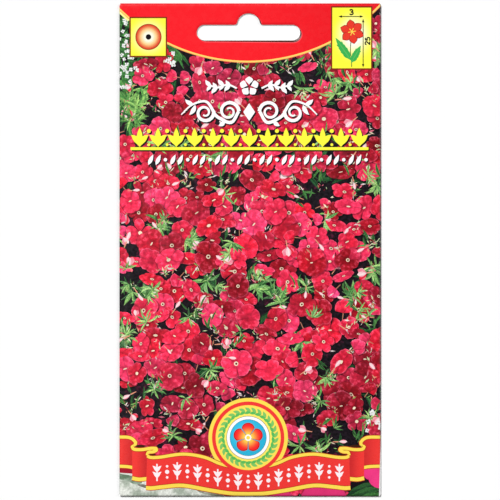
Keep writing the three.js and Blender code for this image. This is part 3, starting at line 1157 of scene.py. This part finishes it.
def margins():
    right_edge = [(front_right + past, height) for past, height in right_bleeds]
    left_edge = [(front_left - past, height) for past, height in left_bleeds]
    draw("bare", "white", right_edge + [(off_right, foot_end), (off_right, off_end)])
    draw("bare", "white", left_edge + [(off_left, off_end), (off_left, -off_end)])
    draw("bare", "white", box(off_left, -off_end, -off_left, -front_reach - bleed))


def back_print():
    for tone, low, high in (("signal red", 52, 53.2), ("yolk", 51.2, 51.7)):
        flat(tone, back_box(-34, low, front_right - bleed, high))
    calendar()
    for height in (-8, -44):
        for k in range(9):
            base = np.array([back_place(-22 + 6 * k), height])
            flat("emerald", leaf_outline(base - (1.5, 1), base + (1.5, 1), 1.3, 0.1, 6))
            flat("rose", disc(base + (3, 0), 0.7, 10))


def creased_ink():
    """Painted shade: the print is darkened all along each fold, where the paper turns away from the
    light.
    """
    shadow(box(left_crease, front_reach, right_crease, end_crease), 0.16)
    shadow(box(left_crease, -end_crease, right_crease, -front_reach), 0.34)
    shadow(box(left_crease, -front_reach, front_left, front_reach), 0.22)
    shadow(box(front_right, -front_reach, right_crease, front_reach), 0.28)


margins()
back_print()
# painted shade along the four folds
creased_ink()
print("shapes in the whole print:", len(collage))

# %% [markdown]
# ## Flattening the collage
# Thousands of overlapping shapes can't all be left on the paper: the hidden ones would show
# through or flicker. Blender's Delaunay tool cuts the plane along every outline at once. Each
# little triangle then belongs to the uppermost shape over its middle. Most of the cuts lie
# under other shapes, so the plane is cut a second time along only the visible edges, together
# with the outline of the blank, the slots, the creases and a grid that lets the paper curve.

# %% Which shape is uppermost
def inside(points, outline):
    """Which points lie inside an outline, by how often it winds round them."""
    x, y = points[:, 0, None], points[:, 1, None]
    x0, y0 = outline.T
    x1, y1 = np.roll(outline, -1, 0).T
    crosses = (y0 > y) != (y1 > y)
    rise = np.where(y1 == y0, 1, y1 - y0)
    ahead = crosses & (x < x0 + (y - y0) * (x1 - x0) / rise)
    return (ahead * np.sign(y1 - y0)).sum(1) != 0


def uppermost(points):
    """For each point, the number of the uppermost shape and how much light its shadows leave."""
    order = np.argsort(points[:, 1])
    heights = points[order, 1]
    top = np.full(len(points), -1)
    light = np.ones(len(points))
    for number_of_shape, shape in enumerate(collage):
        low, high = shape.outline.min(0), shape.outline.max(0)
        near = order[np.searchsorted(heights, low[1]):np.searchsorted(heights, high[1])]
        near = near[(points[near, 0] > low[0]) & (points[near, 0] < high[0])]
        covered = near[inside(points[near], shape.outline)]
        if shape.finish == "shadow":
            light[covered] *= shape.ink[0]
        else:
            top[covered] = number_of_shape
            light[covered] = 1
    return top, light


# %% Cutting the plane
hair = 0.01  # points nearer than this become one in the first cut
fine_hair = 0.005  # and in the second, which keeps apart what the first has pulled aside
sliver = 1e-9  # triangles with less area than this are dropped


def ring_edges(rings):
    """The points of closed outlines and the edges between them."""
    points, edges = [], []
    for ring in rings:
        first = len(points)
        points.extend(ring)
        edges.extend((first + k, first + (k + 1) % len(ring)) for k in range(len(ring)))
    return points, edges


def turned_alike(places, triangles):
    """The triangles, all turned the same way, and twice the area of each."""
    a, b, c = (places[triangles[:, k]] for k in range(3))
    area = (b[:, 0] - a[:, 0]) * (c[:, 1] - a[:, 1]) - (b[:, 1] - a[:, 1]) * (c[:, 0] - a[:, 0])
    triangles[area < 0] = triangles[area < 0][:, ::-1]
    return triangles, np.abs(area)


def cut_plane(points, edges, hair):
    """The points and the triangles of a plane that is cut along every edge."""
    flat_points = [Vector((float(x), float(y))) for x, y in points]
    made = delaunay_2d_cdt(flat_points, edges, [], 0, hair, False)
    places = np.array([tuple(point) for point in made[0]], float)
    triangles, area = turned_alike(places, np.array(made[2]))
    return places, triangles[area > sliver]


def sides_of(triangles):
    return np.vstack([triangles[:, [0, 1]], triangles[:, [1, 2]], triangles[:, [2, 0]]])


def edges_between(triangles, *labels):
    """The edges whose two triangles differ in a label."""
    corners = np.sort(sides_of(triangles), axis=1)
    owner = np.tile(np.arange(len(triangles)), 3)
    order = np.lexsort((corners[:, 1], corners[:, 0]))
    corners, owner = corners[order], owner[order]
    paired = (corners[1:] == corners[:-1]).all(1)
    differs = np.zeros(len(paired), bool)
    for label in labels:
        differs |= label[owner[1:]] != label[owner[:-1]]
    return corners[:-1][paired & differs]


points, edges = ring_edges([shape.outline for shape in collage])
first_places, first_triangles = cut_plane(points, edges, hair)
top, light = uppermost(first_places[first_triangles].mean(1))
seen_edges = edges_between(first_triangles, top, light)
print("first cut:", len(first_triangles), "triangles; visible edges:", len(seen_edges))

# %% The second cut, with creases, slots and a grid
crease_steps = 6
grid_step = 2.5
spring_lines = (0.12, 0.3, 0.6)  # how far from each fold they run
dip_rings = (0.15, 0.35, 0.6, 0.9)  # and how far from the slot these do


def creases():
    """Where the paper bends: the x of the right and left folds, and how far out the end folds."""
    for k in range(crease_steps + 1):
        share = math.pi * k / crease_steps
        yield (front_right + right_radius * share, front_left - left_radius * share,
               front_reach + flap_radius * share)


def crease_lines():
    """Lines round and beside each fold, so that the paper bends in even steps."""
    past_side, past_end = half_width + 1, half_height + 1.5
    beside_them = [(front_right - gap, front_left + gap, front_reach - gap) for gap in spring_lines]
    lines = []
    for right, left, high in beside_them + list(creases()):
        lines += [[(place, -past_end), (place, past_end)] for place in (right, left)]
        lines += [[(-past_side, place), (past_side, place)] for place in (high, -high)]
    return lines


def grid(x, y, step):
    """Points in rows, from -x to x and from -y to y."""
    past = step / 4
    return [(a, b) for a in np.arange(-x, x + past, step) for b in np.arange(-y, y + past, step)]


def second_cut():
    points = [tuple(place) for place in first_places]
    edges = [tuple(int(end) for end in edge) for edge in seen_edges]
    rings = [blank_outline()] + slots_on_blank()
    rings += [slot_outline(gap) + slot_at for gap in dip_rings]
    ring_points, more_edges = ring_edges(rings)
    edges += [(a + len(points), b + len(points)) for a, b in more_edges]
    points += [tuple(point) for point in ring_points]
    for line in crease_lines():
        edges.append((len(points), len(points) + 1))
        points += line
    used = sorted({end for edge in edges for end in edge})
    renumber = {old: new for new, old in enumerate(used)}
    kept = [points[old] for old in used] + grid(38.75, 73.75, grid_step)
    return cut_plane(kept, [(renumber[a], renumber[b]) for a, b in edges], fine_hair)


def on_the_paper(middles):
    kept = inside(middles, blank_outline())
    for slot in slots_on_blank():
        kept &= ~inside(middles, slot)
    return kept


printed_places, triangles = second_cut()
triangles = triangles[on_the_paper(printed_places[triangles].mean(1))]
used, triangles = np.unique(triangles, return_inverse=True)
printed_places, triangles = printed_places[used], triangles.reshape(-1, 3)
top, light = uppermost(printed_places[triangles].mean(1))
print("second cut:", len(triangles), "triangles on the printed side,", (top < 0).sum(), "bare")

# %% [markdown]
# ## The inner face and the cut edges
# The inner face of the paper is plain, so it needs far fewer triangles. It must still meet the
# printed side at every point of the cut edge, or the sheet would leak. So the rim of the
# printed side is used again as the rim of the inner face, and short walls join the two rims.

# %% The inner face
inner_step, row_step = 3, 2
clearance = 0.05  # how far its points keep off the cut edge
same_point = 1e-6


def rim_of(triangles):
    """The edges with paper on one side only, each in the direction of its triangle."""
    sides = sides_of(triangles)
    width = int(triangles.max()) + 1
    forward = sides[:, 0] * width + sides[:, 1]
    backward = sides[:, 1] * width + sides[:, 0]
    return sides[~np.isin(forward, backward)]


def inner_points():
    """A coarse grid on the front, and rows of points round the creases."""
    points = grid(37.5, 73.5, inner_step)
    for right, left, high in creases():
        points += [(x, y) for x in (right, left) for y in np.arange(-74, 74.5, row_step)]
        points += [(x, y) for x in np.arange(-38, 38.5, row_step) for y in (-high, high)]
    points = np.array(points)
    clear = on_the_paper(points)
    for x, y in ((1, 0), (-1, 0), (0, 1), (0, -1)):
        clear &= on_the_paper(points + (clearance * x, clearance * y))
    return points[clear]


rim = rim_of(triangles)
rim_points, rim_inverse = np.unique(rim, return_inverse=True)
rim_inner = rim_inverse.reshape(-1, 2)
inner_places = np.vstack([printed_places[rim_points], inner_points()])
cut = delaunay_2d_cdt([Vector(place) for place in inner_places.tolist()],
                      [(int(a), int(b)) for a, b in rim_inner], [], 0, same_point, True)
inner_flat = np.array([tuple(point) for point in cut[0]], float)
made_from = np.full(len(inner_places), -1)
for made_point, sources in enumerate(cut[3]):
    made_from[list(sources)] = made_point
rim_inner = made_from[rim_inner]
inner_triangles = np.array(cut[2])
inner_triangles = inner_triangles[on_the_paper(inner_flat[inner_triangles].mean(1))]
inner_triangles, _ = turned_alike(inner_flat, inner_triangles)
print("inner face:", len(inner_triangles), "triangles; rim:", len(rim), "edges")

# %% [markdown]
# ## One closed sheet
# The three sets of faces become one mesh. Each corner of a printed triangle carries its two
# inks, its place in its shape's own frame, and how much light the shadows leave. The normals
# come from the folding rule, so the paper shades smoothly whatever the print's edges do.

# %% Laying out the sheet for baking
# The finishes stand in the order in which the paper gets its materials.
finishes = ["flat", "petal", "leaf", "bud", "ground", "stone", "glow", "bare", "inside"]
front_scale, panel_scale, inner_scale = 0.0063, 0.0029, 0.0024
inner_rim_shift = (0.35, 0.2)  # keeps the cut edge apart from the inner face, in millimetres


def panel_map(flat_places, middles):
    """Map coordinates: the front large at the left, the other panels in a column beside it."""
    panels = [  # a test of the middle, the panel's lowest corner and its place on the map
        (middles[:, 0] < front_left, (-54.5, -75.5), (0.80, 0.45)),
        (middles[:, 0] > front_right, (39.5, -75.5), (0.55, 0.45)),
        (middles[:, 1] > front_reach, (-39, 75), (0.55, 0.945)),
        (middles[:, 1] < -front_reach, (-39, -88), (0.55, 0.90)),
    ]
    places = (flat_places - (-40.2, -75.5)) * front_scale + (0.008, 0.02)
    for here, corner, at in panels:
        moved = (flat_places - corner) * panel_scale + at
        places = np.where(here[:, None, None], moved, places)
    return places


def inner_map(flat_places):
    return (flat_places - (-55, -89)) * inner_scale + (0.56, 0.01)


# %% The printed sheet as a mesh
def into_scene(name, data):
    made = bpy.data.objects.new(name, data)
    bpy.context.collection.objects.link(made)
    return made


def sheet_mesh():
    """The closed mesh, the points of each face and the outward direction at each corner."""
    outer, outer_out = fold(printed_places, 1)
    inner, inner_out = fold(inner_flat, -1)
    count = len(outer)
    a, b = rim.T
    inner_a, inner_b = rim_inner.T + count
    walls = np.vstack([np.stack([b, a, inner_a], 1), np.stack([b, inner_a, inner_b], 1)])
    corners = np.vstack([triangles, inner_triangles[:, ::-1] + count, walls])
    places = np.vstack([outer, inner]) * metres
    mesh = bpy.data.meshes.new("packet_paper")
    mesh.vertices.add(len(places))
    mesh.vertices.foreach_set("co", places.ravel())
    mesh.loops.add(corners.size)
    mesh.loops.foreach_set("vertex_index", corners.ravel())
    mesh.polygons.add(len(corners))
    mesh.polygons.foreach_set("loop_start", np.arange(0, corners.size, 3))
    mesh.update(calc_edges=True)
    outward = np.vstack([outer_out, inner_out])[corners]
    p, q, r = (places[walls[:, k]] for k in range(3))
    wall_out = np.cross(q - p, r - p)
    wall_out /= np.maximum(np.linalg.norm(wall_out, axis=1), 1e-30)[:, None]
    outward[-len(walls):] = wall_out[:, None]
    return mesh, corners, outward.reshape(-1, 3)


def corner_values(corners):
    """Inks, place and light for each corner, the finish of each face, and the map."""
    faces, seen = len(corners), len(top)
    walls = corners[seen + len(inner_triangles):]
    first, second = np.ones((faces, 3, 4)), np.ones((faces, 3, 4))
    place = np.ones((faces, 3, 3))
    finish = np.full(faces, finishes.index("inside"))
    shapes = [collage[k] for k in top]
    first[:seen, :, :3] = np.array([shape.ink for shape in shapes])[:, None]
    second[:seen, :, :3] = np.array([shape.second for shape in shapes])[:, None]
    finish[:seen] = [finishes.index(shape.finish) for shape in shapes]
    back = np.array([np.linalg.inv(shape.spread) for shape in shapes])
    start = np.array([shape.at for shape in shapes])
    front_flat = printed_places[triangles]
    place[:seen, :, :2] = np.einsum("fij,fkj->fki", back, front_flat - start[:, None])
    place[:seen, :, 2] = light[:, None]
    inner_corners = inner_flat[inner_triangles[:, ::-1]]
    is_printed = (walls < len(printed_places))[..., None]
    wall_flat = np.vstack([printed_places, inner_flat])[walls] + is_printed * inner_rim_shift
    maps = [panel_map(front_flat, front_flat.mean(1)), inner_map(inner_corners), inner_map(wall_flat)]
    return first, second, place, finish, np.vstack(maps)


mesh, corners, outward = sheet_mesh()
first, second, place, finish, maps = corner_values(corners)
for name, values in (("first ink", first), ("second ink", second)):
    mesh.attributes.new(name, "FLOAT_COLOR", "CORNER").data.foreach_set("color", values.ravel())
mesh.attributes.new("place", "FLOAT_VECTOR", "CORNER").data.foreach_set("vector", place.ravel())
mesh.uv_layers.new(name="OFBake").data.foreach_set("uv", maps.ravel())
mesh.polygons.foreach_set("material_index", finish)
mesh.normals_split_custom_set(outward)
packet = into_scene("printed_packet", mesh)
print("sheet:", len(mesh.vertices), "points,", len(mesh.polygons), "faces")

# %% [markdown]
# ## Shading the inks
# One material is made for each finish, and all of them share the paper: a coated sheet with a
# soft gloss and a fine tooth. Inks are mixed as they look to the eye, so the mixed colour goes
# through a Gamma node before it reaches the shader, which wants light, not looks.

# %% Helpers for materials
def put(tree, kind, inputs=(), **settings):
    """A node. inputs gives each socket, by name or number, a value or a link."""
    made = tree.nodes.new(kind)
    for name, value in settings.items():
        setattr(made, name, value)
    for socket, value in dict(inputs).items():
        if isinstance(value, bpy.types.NodeSocket):
            tree.links.new(value, made.inputs[socket])
        else:
            made.inputs[socket].default_value = value
    return made.outputs


def calc(tree, operation, *values):
    return put(tree, "ShaderNodeMath", enumerate(values), operation=operation)[0]


def rising(tree, value, low, high, start=0.0, stop=1.0):
    """A smooth step from start to stop as the value goes from low to high."""
    given = {"Value": value, "From Min": low, "From Max": high, "To Min": start, "To Max": stop}
    return put(tree, "ShaderNodeMapRange", given, interpolation_type="SMOOTHSTEP")[0]


def speckle(tree, per_metre, detail, vector=None):
    if vector is None:
        vector = put(tree, "ShaderNodeTexCoord")["Object"]
    return put(tree, "ShaderNodeTexNoise", {"Vector": vector, "Scale": per_metre, "Detail": detail})[0]


def spots(tree, per_metre, detail, low, high, start=0.0, stop=1.0):
    """Soft spots: a speckle that is taken from start to stop between two of its levels."""
    return rising(tree, speckle(tree, per_metre, detail), low, high, start, stop)


def both(tree, first, second):
    return put(tree, "ShaderNodeCombineXYZ", {0: first, 1: second})[0]


def mixed(tree, share, first, second):
    given = {"Factor": share, 6: first, 7: second}
    return put(tree, "ShaderNodeMix", given, data_type="RGBA")[2]


def dimmed(tree, vector, factor):
    return put(tree, "ShaderNodeVectorMath", {0: vector, "Scale": factor}, operation="SCALE")[0]


def relief(tree, strength, distance, height):
    given = {"Strength": strength, "Distance": distance, "Height": height}
    return put(tree, "ShaderNodeBump", given)[0]


def finished(name, sockets_of):
    """A material of one shader. sockets_of makes its nodes and says what each socket gets."""
    material = bpy.data.materials.new(name)
    material.use_nodes = True
    tree = material.node_tree
    tree.nodes.clear()
    shader = put(tree, "ShaderNodeBsdfPrincipled", sockets_of(tree))[0]
    put(tree, "ShaderNodeOutputMaterial", {"Surface": shader})
    return material


# %% How each finish mixes its two inks
# Each painter returns the share of the second ink and a factor of light.
def paint_petal(tree, u, v, reach):
    """Petals are darker down one side and round the eye, paler at the rim, and streaked."""
    angle = calc(tree, "ARCTAN2", v, u)
    blotch = speckle(tree, 900, 3)
    streaks = speckle(tree, 1.0, 2, both(tree, calc(tree, "MULTIPLY", angle, 14), reach))
    away = rising(tree, reach, 0.15, 0.5)
    seam = calc(tree, "MULTIPLY", rising(tree, angle, 0.38, 0.68), away)
    other_seam = rising(tree, calc(tree, "MULTIPLY", angle, -1), 0.45, 0.66)
    throat = rising(tree, reach, 0.2, 0.42, 1.0, 0.0)
    share = calc(tree, "MULTIPLY", rising(tree, blotch, 0.5, 0.72), rising(tree, reach, 0.25, 0.6))
    share = calc(tree, "MULTIPLY_ADD", share, 0.34, rising(tree, reach, 0.6, 1.0, 0.0, 0.1))
    light = 1.0
    for dark, depth in ((seam, -0.2), (other_seam, -0.06), (throat, -0.16)):
        light = calc(tree, "MULTIPLY_ADD", dark, depth, light)
    light = calc(tree, "MULTIPLY", light, rising(tree, blotch, 0.25, 0.75, 0.86, 1.14))
    light = calc(tree, "MULTIPLY", light, rising(tree, streaks, 0.3, 0.7, 0.93, 1.06))
    return share, light


def paint_leaf(tree, u, v, reach):
    """Leaves have a pale midrib and margin, and one half is in its own shade."""
    off_rib = calc(tree, "ABSOLUTE", v)
    rib = rising(tree, off_rib, 0.04, 0.2, 0.5, 0.0)
    margin = rising(tree, off_rib, 0.7, 0.98, 0.0, 0.4)
    mottled = spots(tree, 2200, 2, 0.3, 0.7, 0.84, 1.14)
    light = calc(tree, "MULTIPLY", mottled, rising(tree, v, -0.1, 0.1, 1.0, 0.82))
    return calc(tree, "ADD", rib, margin), light


def paint_bud(tree, u, v, reach):
    """Folded petals are deeper in colour along their sides and streaked lengthwise."""
    streaks = speckle(tree, 1.0, 2, both(tree, calc(tree, "MULTIPLY", v, 5), u))
    streaks = rising(tree, streaks, 0.5, 0.62, 0.0, 0.4)
    sides = rising(tree, calc(tree, "ABSOLUTE", v), 0.35, 0.9, 0.0, 0.7)
    return calc(tree, "ADD", streaks, sides), rising(tree, u, 0.0, 0.3, 0.85, 1.0)


def paint_ground(tree, u, v, reach):
    share = spots(tree, 350, 4, 0.55, 0.7, 0.0, 0.65)
    return share, spots(tree, 1300, 2, 0.3, 0.7, 0.7, 1.5)


def paint_stone(tree, u, v, reach):
    share = spots(tree, 260, 4, 0.42, 0.68, 0.0, 0.62)
    return share, spots(tree, 1800, 3, 0.3, 0.7, 0.9, 1.06)


def paint_glow(tree, u, v, reach):
    return rising(tree, reach, 0.15, 1.0), 1.0


def paint_flat(tree, u, v, reach):
    return 0.0, 1.0


# %% Coated paper, printed and bare
eye_gamma = 2.2


def coated_paper(name, colour_of, gloss=0.27, tooth=0.06):
    """Paper with a soft gloss: colour_of makes the colour as it looks to the eye."""
    def sockets_of(tree):
        looks = colour_of(tree)
        grain = spots(tree, 5200, 1, 0.3, 0.7, 0.975, 1.02)
        colour = put(tree, "ShaderNodeGamma", {0: dimmed(tree, looks, grain), 1: eye_gamma})[0]
        roughness = spots(tree, 600, 3, 0.3, 0.7, gloss - 0.04, gloss + 0.06)
        bump = relief(tree, tooth, 0.00003, speckle(tree, 3800, 3))
        return {"Base Color": colour, "Roughness": roughness, "Normal": bump, "Specular IOR Level": 0.3}
    return finished(name, sockets_of)


def attribute(tree, name, kind):
    return put(tree, "ShaderNodeAttribute", attribute_name=name)[kind]


def printed(painter):
    def colour_of(tree):
        first, second = attribute(tree, "first ink", "Color"), attribute(tree, "second ink", "Color")
        place = attribute(tree, "place", "Vector")
        u, v, shade = put(tree, "ShaderNodeSeparateXYZ", {0: place})[:]
        reach = calc(tree, "SQRT", calc(tree, "MULTIPLY_ADD", u, u, calc(tree, "MULTIPLY", v, v)))
        share, light = painter(tree, u, v, reach)
        light = calc(tree, "MULTIPLY", shade, light)
        return dimmed(tree, mixed(tree, share, first, second), light)
    return colour_of


def bare(tone, fibre_shade=0.965):
    def colour_of(tree):
        fibres = spots(tree, 1500, 4, 0.35, 0.65)
        shade = [fibre_shade * part for part in tone]
        return mixed(tree, fibres, (*tone, 1.0), (*shade, 1.0))
    return colour_of


painters = {
    "flat": paint_flat, "petal": paint_petal, "leaf": paint_leaf, "bud": paint_bud,
    "ground": paint_ground, "stone": paint_stone, "glow": paint_glow,
}
for name, painter in painters.items():
    mesh.materials.append(coated_paper("print_" + name, printed(painter)))
mesh.materials.append(coated_paper("unprinted_paper", bare((0.97, 0.97, 0.965))))
mesh.materials.append(coated_paper("inner_paper", bare((0.93, 0.93, 0.92)), 0.75, 0.15))
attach(packet, "root")
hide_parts("packet_sheet")
print("materials of the paper:", len(mesh.materials))

# %% [markdown]
# ## Glue and seeds
# Nothing of these shows from outside, but the packet would be empty and open without them. The
# glue keeps its solids and gets a finish of dried adhesive. A seed is a plump, wrinkled drop.
# One seed is modelled by Geometry Nodes and set on fifty points, each with the place, the turn
# and the size of its solid, which are measured from the solid's own points.

# %% Dried glue
def dried_glue(tree):
    blotch = spots(tree, 500, 3, 0.35, 0.65)
    colour = mixed(tree, blotch, (0.80, 0.74, 0.58, 1), (0.88, 0.84, 0.72, 1))
    roughness = spots(tree, 900, 2, 0.3, 0.7, 0.4, 0.6)
    bump = relief(tree, 0.2, 0.00002, blotch)
    return {"Base Color": colour, "Roughness": roughness, "Normal": bump}


glue = finished("dried_glue", dried_glue)
for node_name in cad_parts:
    if node_name.startswith("glue_"):
        solid = bpy.data.objects[node_name]
        solid.data.materials.clear()
        solid.data.materials.append(glue)


# %% Where each seed lies
def seed_lies(solid):
    """The middle of a seed, its turn and its size, from the spread of the solid's points."""
    points = np.array([tuple(vertex.co) for vertex in solid.data.vertices])
    low, high = points.min(0), points.max(0)
    middle = (low + high) / 2
    axes = np.linalg.svd(np.unique(np.round(points, 7), axis=0) - middle, full_matrices=False)[2]
    if np.linalg.det(axes) < 0:
        axes[2] *= -1
    reach = np.abs((points - middle) @ axes.T).max(0)
    return middle, Matrix(axes.T.tolist()).to_euler(), reach


seed_solids = [solid for name, solid in sorted(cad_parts.items()) if name.startswith("seed_")]
lies = [seed_lies(solid) for solid in seed_solids]
mean_length = 2 * np.mean([reach[0] for _, _, reach in lies]) / metres
print("seeds:", len(lies), "mean length", round(mean_length, 2), "mm")

# %% The seeds' node tree
def tree_input(face, name, kind, way="INPUT"):
    return face.new_socket(name, in_out=way, socket_type="NodeSocket" + kind).identifier


def named(tree, name):
    given = {"Name": name}
    return put(tree, "GeometryNodeInputNamedAttribute", given, data_type="FLOAT_VECTOR")[0]


def seed_tree(coat):
    """One wrinkled drop on each point, turned and sized as the point says."""
    tree = bpy.data.node_groups.new("seeds_on_points", "GeometryNodeTree")
    face = tree.interface
    tree_input(face, "Geometry", "Geometry")
    wrinkles = tree_input(face, "Wrinkle depth", "Float")
    blunt = tree_input(face, "Bluntness", "Float")
    tree_input(face, "Geometry", "Geometry", "OUTPUT")
    given = put(tree, "NodeGroupInput")
    ball = put(tree, "GeometryNodeMeshIcoSphere", {"Radius": 1.0, "Subdivisions": 4})["Mesh"]
    at = put(tree, "GeometryNodeInputPosition")[0]
    along = put(tree, "ShaderNodeSeparateXYZ", {0: at})[0]
    bumps = calc(tree, "SUBTRACT", speckle(tree, 3.2, 4.0, at), 0.5)
    swell = calc(tree, "MULTIPLY_ADD", bumps, given["Wrinkle depth"], 1.0)
    swell = calc(tree, "MULTIPLY_ADD", along, given["Bluntness"], swell)
    moved = dimmed(tree, at, swell)
    seed = put(tree, "GeometryNodeSetPosition", {"Geometry": ball, "Position": moved})[0]
    euler, size = named(tree, "turned"), named(tree, "sized")
    rotation = put(tree, "FunctionNodeEulerToRotation", {0: euler})[0]
    placed = put(tree, "GeometryNodeInstanceOnPoints", {
        "Points": given["Geometry"], "Instance": seed, "Rotation": rotation, "Scale": size,
    })[0]
    real = put(tree, "GeometryNodeRealizeInstances", {"Geometry": placed})[0]
    coated = put(tree, "GeometryNodeSetMaterial", {"Geometry": real, "Material": coat})[0]
    put(tree, "NodeGroupOutput", {0: coated})
    return tree, wrinkles, blunt


def seed_coat(tree):
    blotch = spots(tree, 900, 4, 0.35, 0.65)
    colour = mixed(tree, blotch, (0.045, 0.022, 0.012, 1), (0.16, 0.085, 0.045, 1))
    roughness = spots(tree, 2400, 2, 0.3, 0.7, 0.6, 0.85)
    bump = relief(tree, 0.6, 0.00006, speckle(tree, 3000, 4))
    return {"Base Color": colour, "Roughness": roughness, "Normal": bump}


# %% Seeds in the pocket
seed_fill = 0.94  # a seed's size as a share of its solid's, which leaves room for the wrinkles
wrinkle_depth, bluntness = 0.22, 0.1


def loose_seeds():
    points = bpy.data.meshes.new("seed_places")
    points.from_pydata([tuple(middle) for middle, _, _ in lies], [], [])
    turns = [angle for _, euler, _ in lies for angle in euler]
    sizes = [part for _, _, reach in lies for part in reach * seed_fill]
    for name, values in (("turned", turns), ("sized", sizes)):
        made = points.attributes.new(name, "FLOAT_VECTOR", "POINT")
        made.data.foreach_set("vector", values)
    holder = into_scene("seed_places", points)
    modifier = holder.modifiers.new("seeds", "NODES")
    modifier.node_group, wrinkles, blunt = seed_tree(finished("seed_coat", seed_coat))
    modifier[wrinkles] = wrinkle_depth
    modifier[blunt] = bluntness
    evaluated = holder.evaluated_get(bpy.context.evaluated_depsgraph_get())
    made = bpy.data.meshes.new_from_object(evaluated)
    made.materials.pop(index=0)  # the empty slot of the bare points
    bpy.data.objects.remove(holder)
    return into_scene("loose_seeds", made)


seeds = loose_seeds()
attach(seeds, "root")
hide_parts(*[solid.name for solid in seed_solids])
print("seed faces:", len(seeds.data.polygons))

# %% [markdown]
# ## Table, light and camera
# The packet lies on a white table and is seen from straight above, as on a copy stand. Two
# distant lamps light it evenly, and their broad discs make soft edges. The lamp at the upper
# left is the stronger one, so a thin shadow shows along the right and lower edges. A dim white
# room fills the shadows. The camera stands well back, so nothing is distorted.

# %% The table
table_reach = 1.5


def table():
    floor = bpy.data.meshes.new("table")
    corners = [(x, y, 0) for x, y in box(-table_reach, -table_reach, table_reach, table_reach)]
    floor.from_pydata(corners, [], [(0, 1, 2, 3)])
    material = bpy.data.materials.new("white_table")
    material.use_nodes = True
    shader = material.node_tree.nodes["Principled BSDF"]
    shader.inputs["Base Color"].default_value = (0.93, 0.93, 0.93, 1)
    shader.inputs["Roughness"].default_value = 0.9
    shader.inputs["Specular IOR Level"].default_value = 0.1
    floor.materials.append(material)
    return into_scene("table", floor)


table()

# %% Lights
def even_light(name, towards, width, on_table):
    """A distant soft light. on_table is how brightly it lights a white table, 1 being white."""
    lamp = bpy.data.lights.new(name, "SUN")
    towards = Vector(towards).normalized()
    lamp.angle = math.radians(width)
    lamp.energy = math.pi * on_table / towards.z
    made = into_scene(name, lamp)
    made.location = towards
    made.rotation_euler = (-towards).to_track_quat("-Z", "Y").to_euler()


room_light = 0.15
even_light("main_light", (-0.52, 0.6, 1.0), 28, 0.8)
even_light("side_light", (1.0, 0.3, 0.8), 30, 0.13)
world = bpy.data.worlds.new("pale_room")
world.use_nodes = True
background = world.node_tree.nodes["Background"].inputs
background["Color"].default_value = (1, 1, 1, 1)
background["Strength"].default_value = room_light
bpy.context.scene.world = world

# %% Camera
camera_height = 1.5  # over the front of the paper
paper_level = 0.42 * metres
picture_width = 153.1 * metres
sensor = 36.0
off_x, off_y = -0.04 * metres, -0.03 * metres
lens = bpy.data.cameras.new("copy_stand")
lens.sensor_width = sensor
lens.lens = sensor * camera_height / picture_width
camera = into_scene("copy_stand", lens)
camera.location = (off_x, off_y, camera_height + paper_level)
bpy.context.scene.camera = camera
bpy.context.scene.view_settings.view_transform = "Standard"
print("lens:", round(lens.lens, 1), "mm")
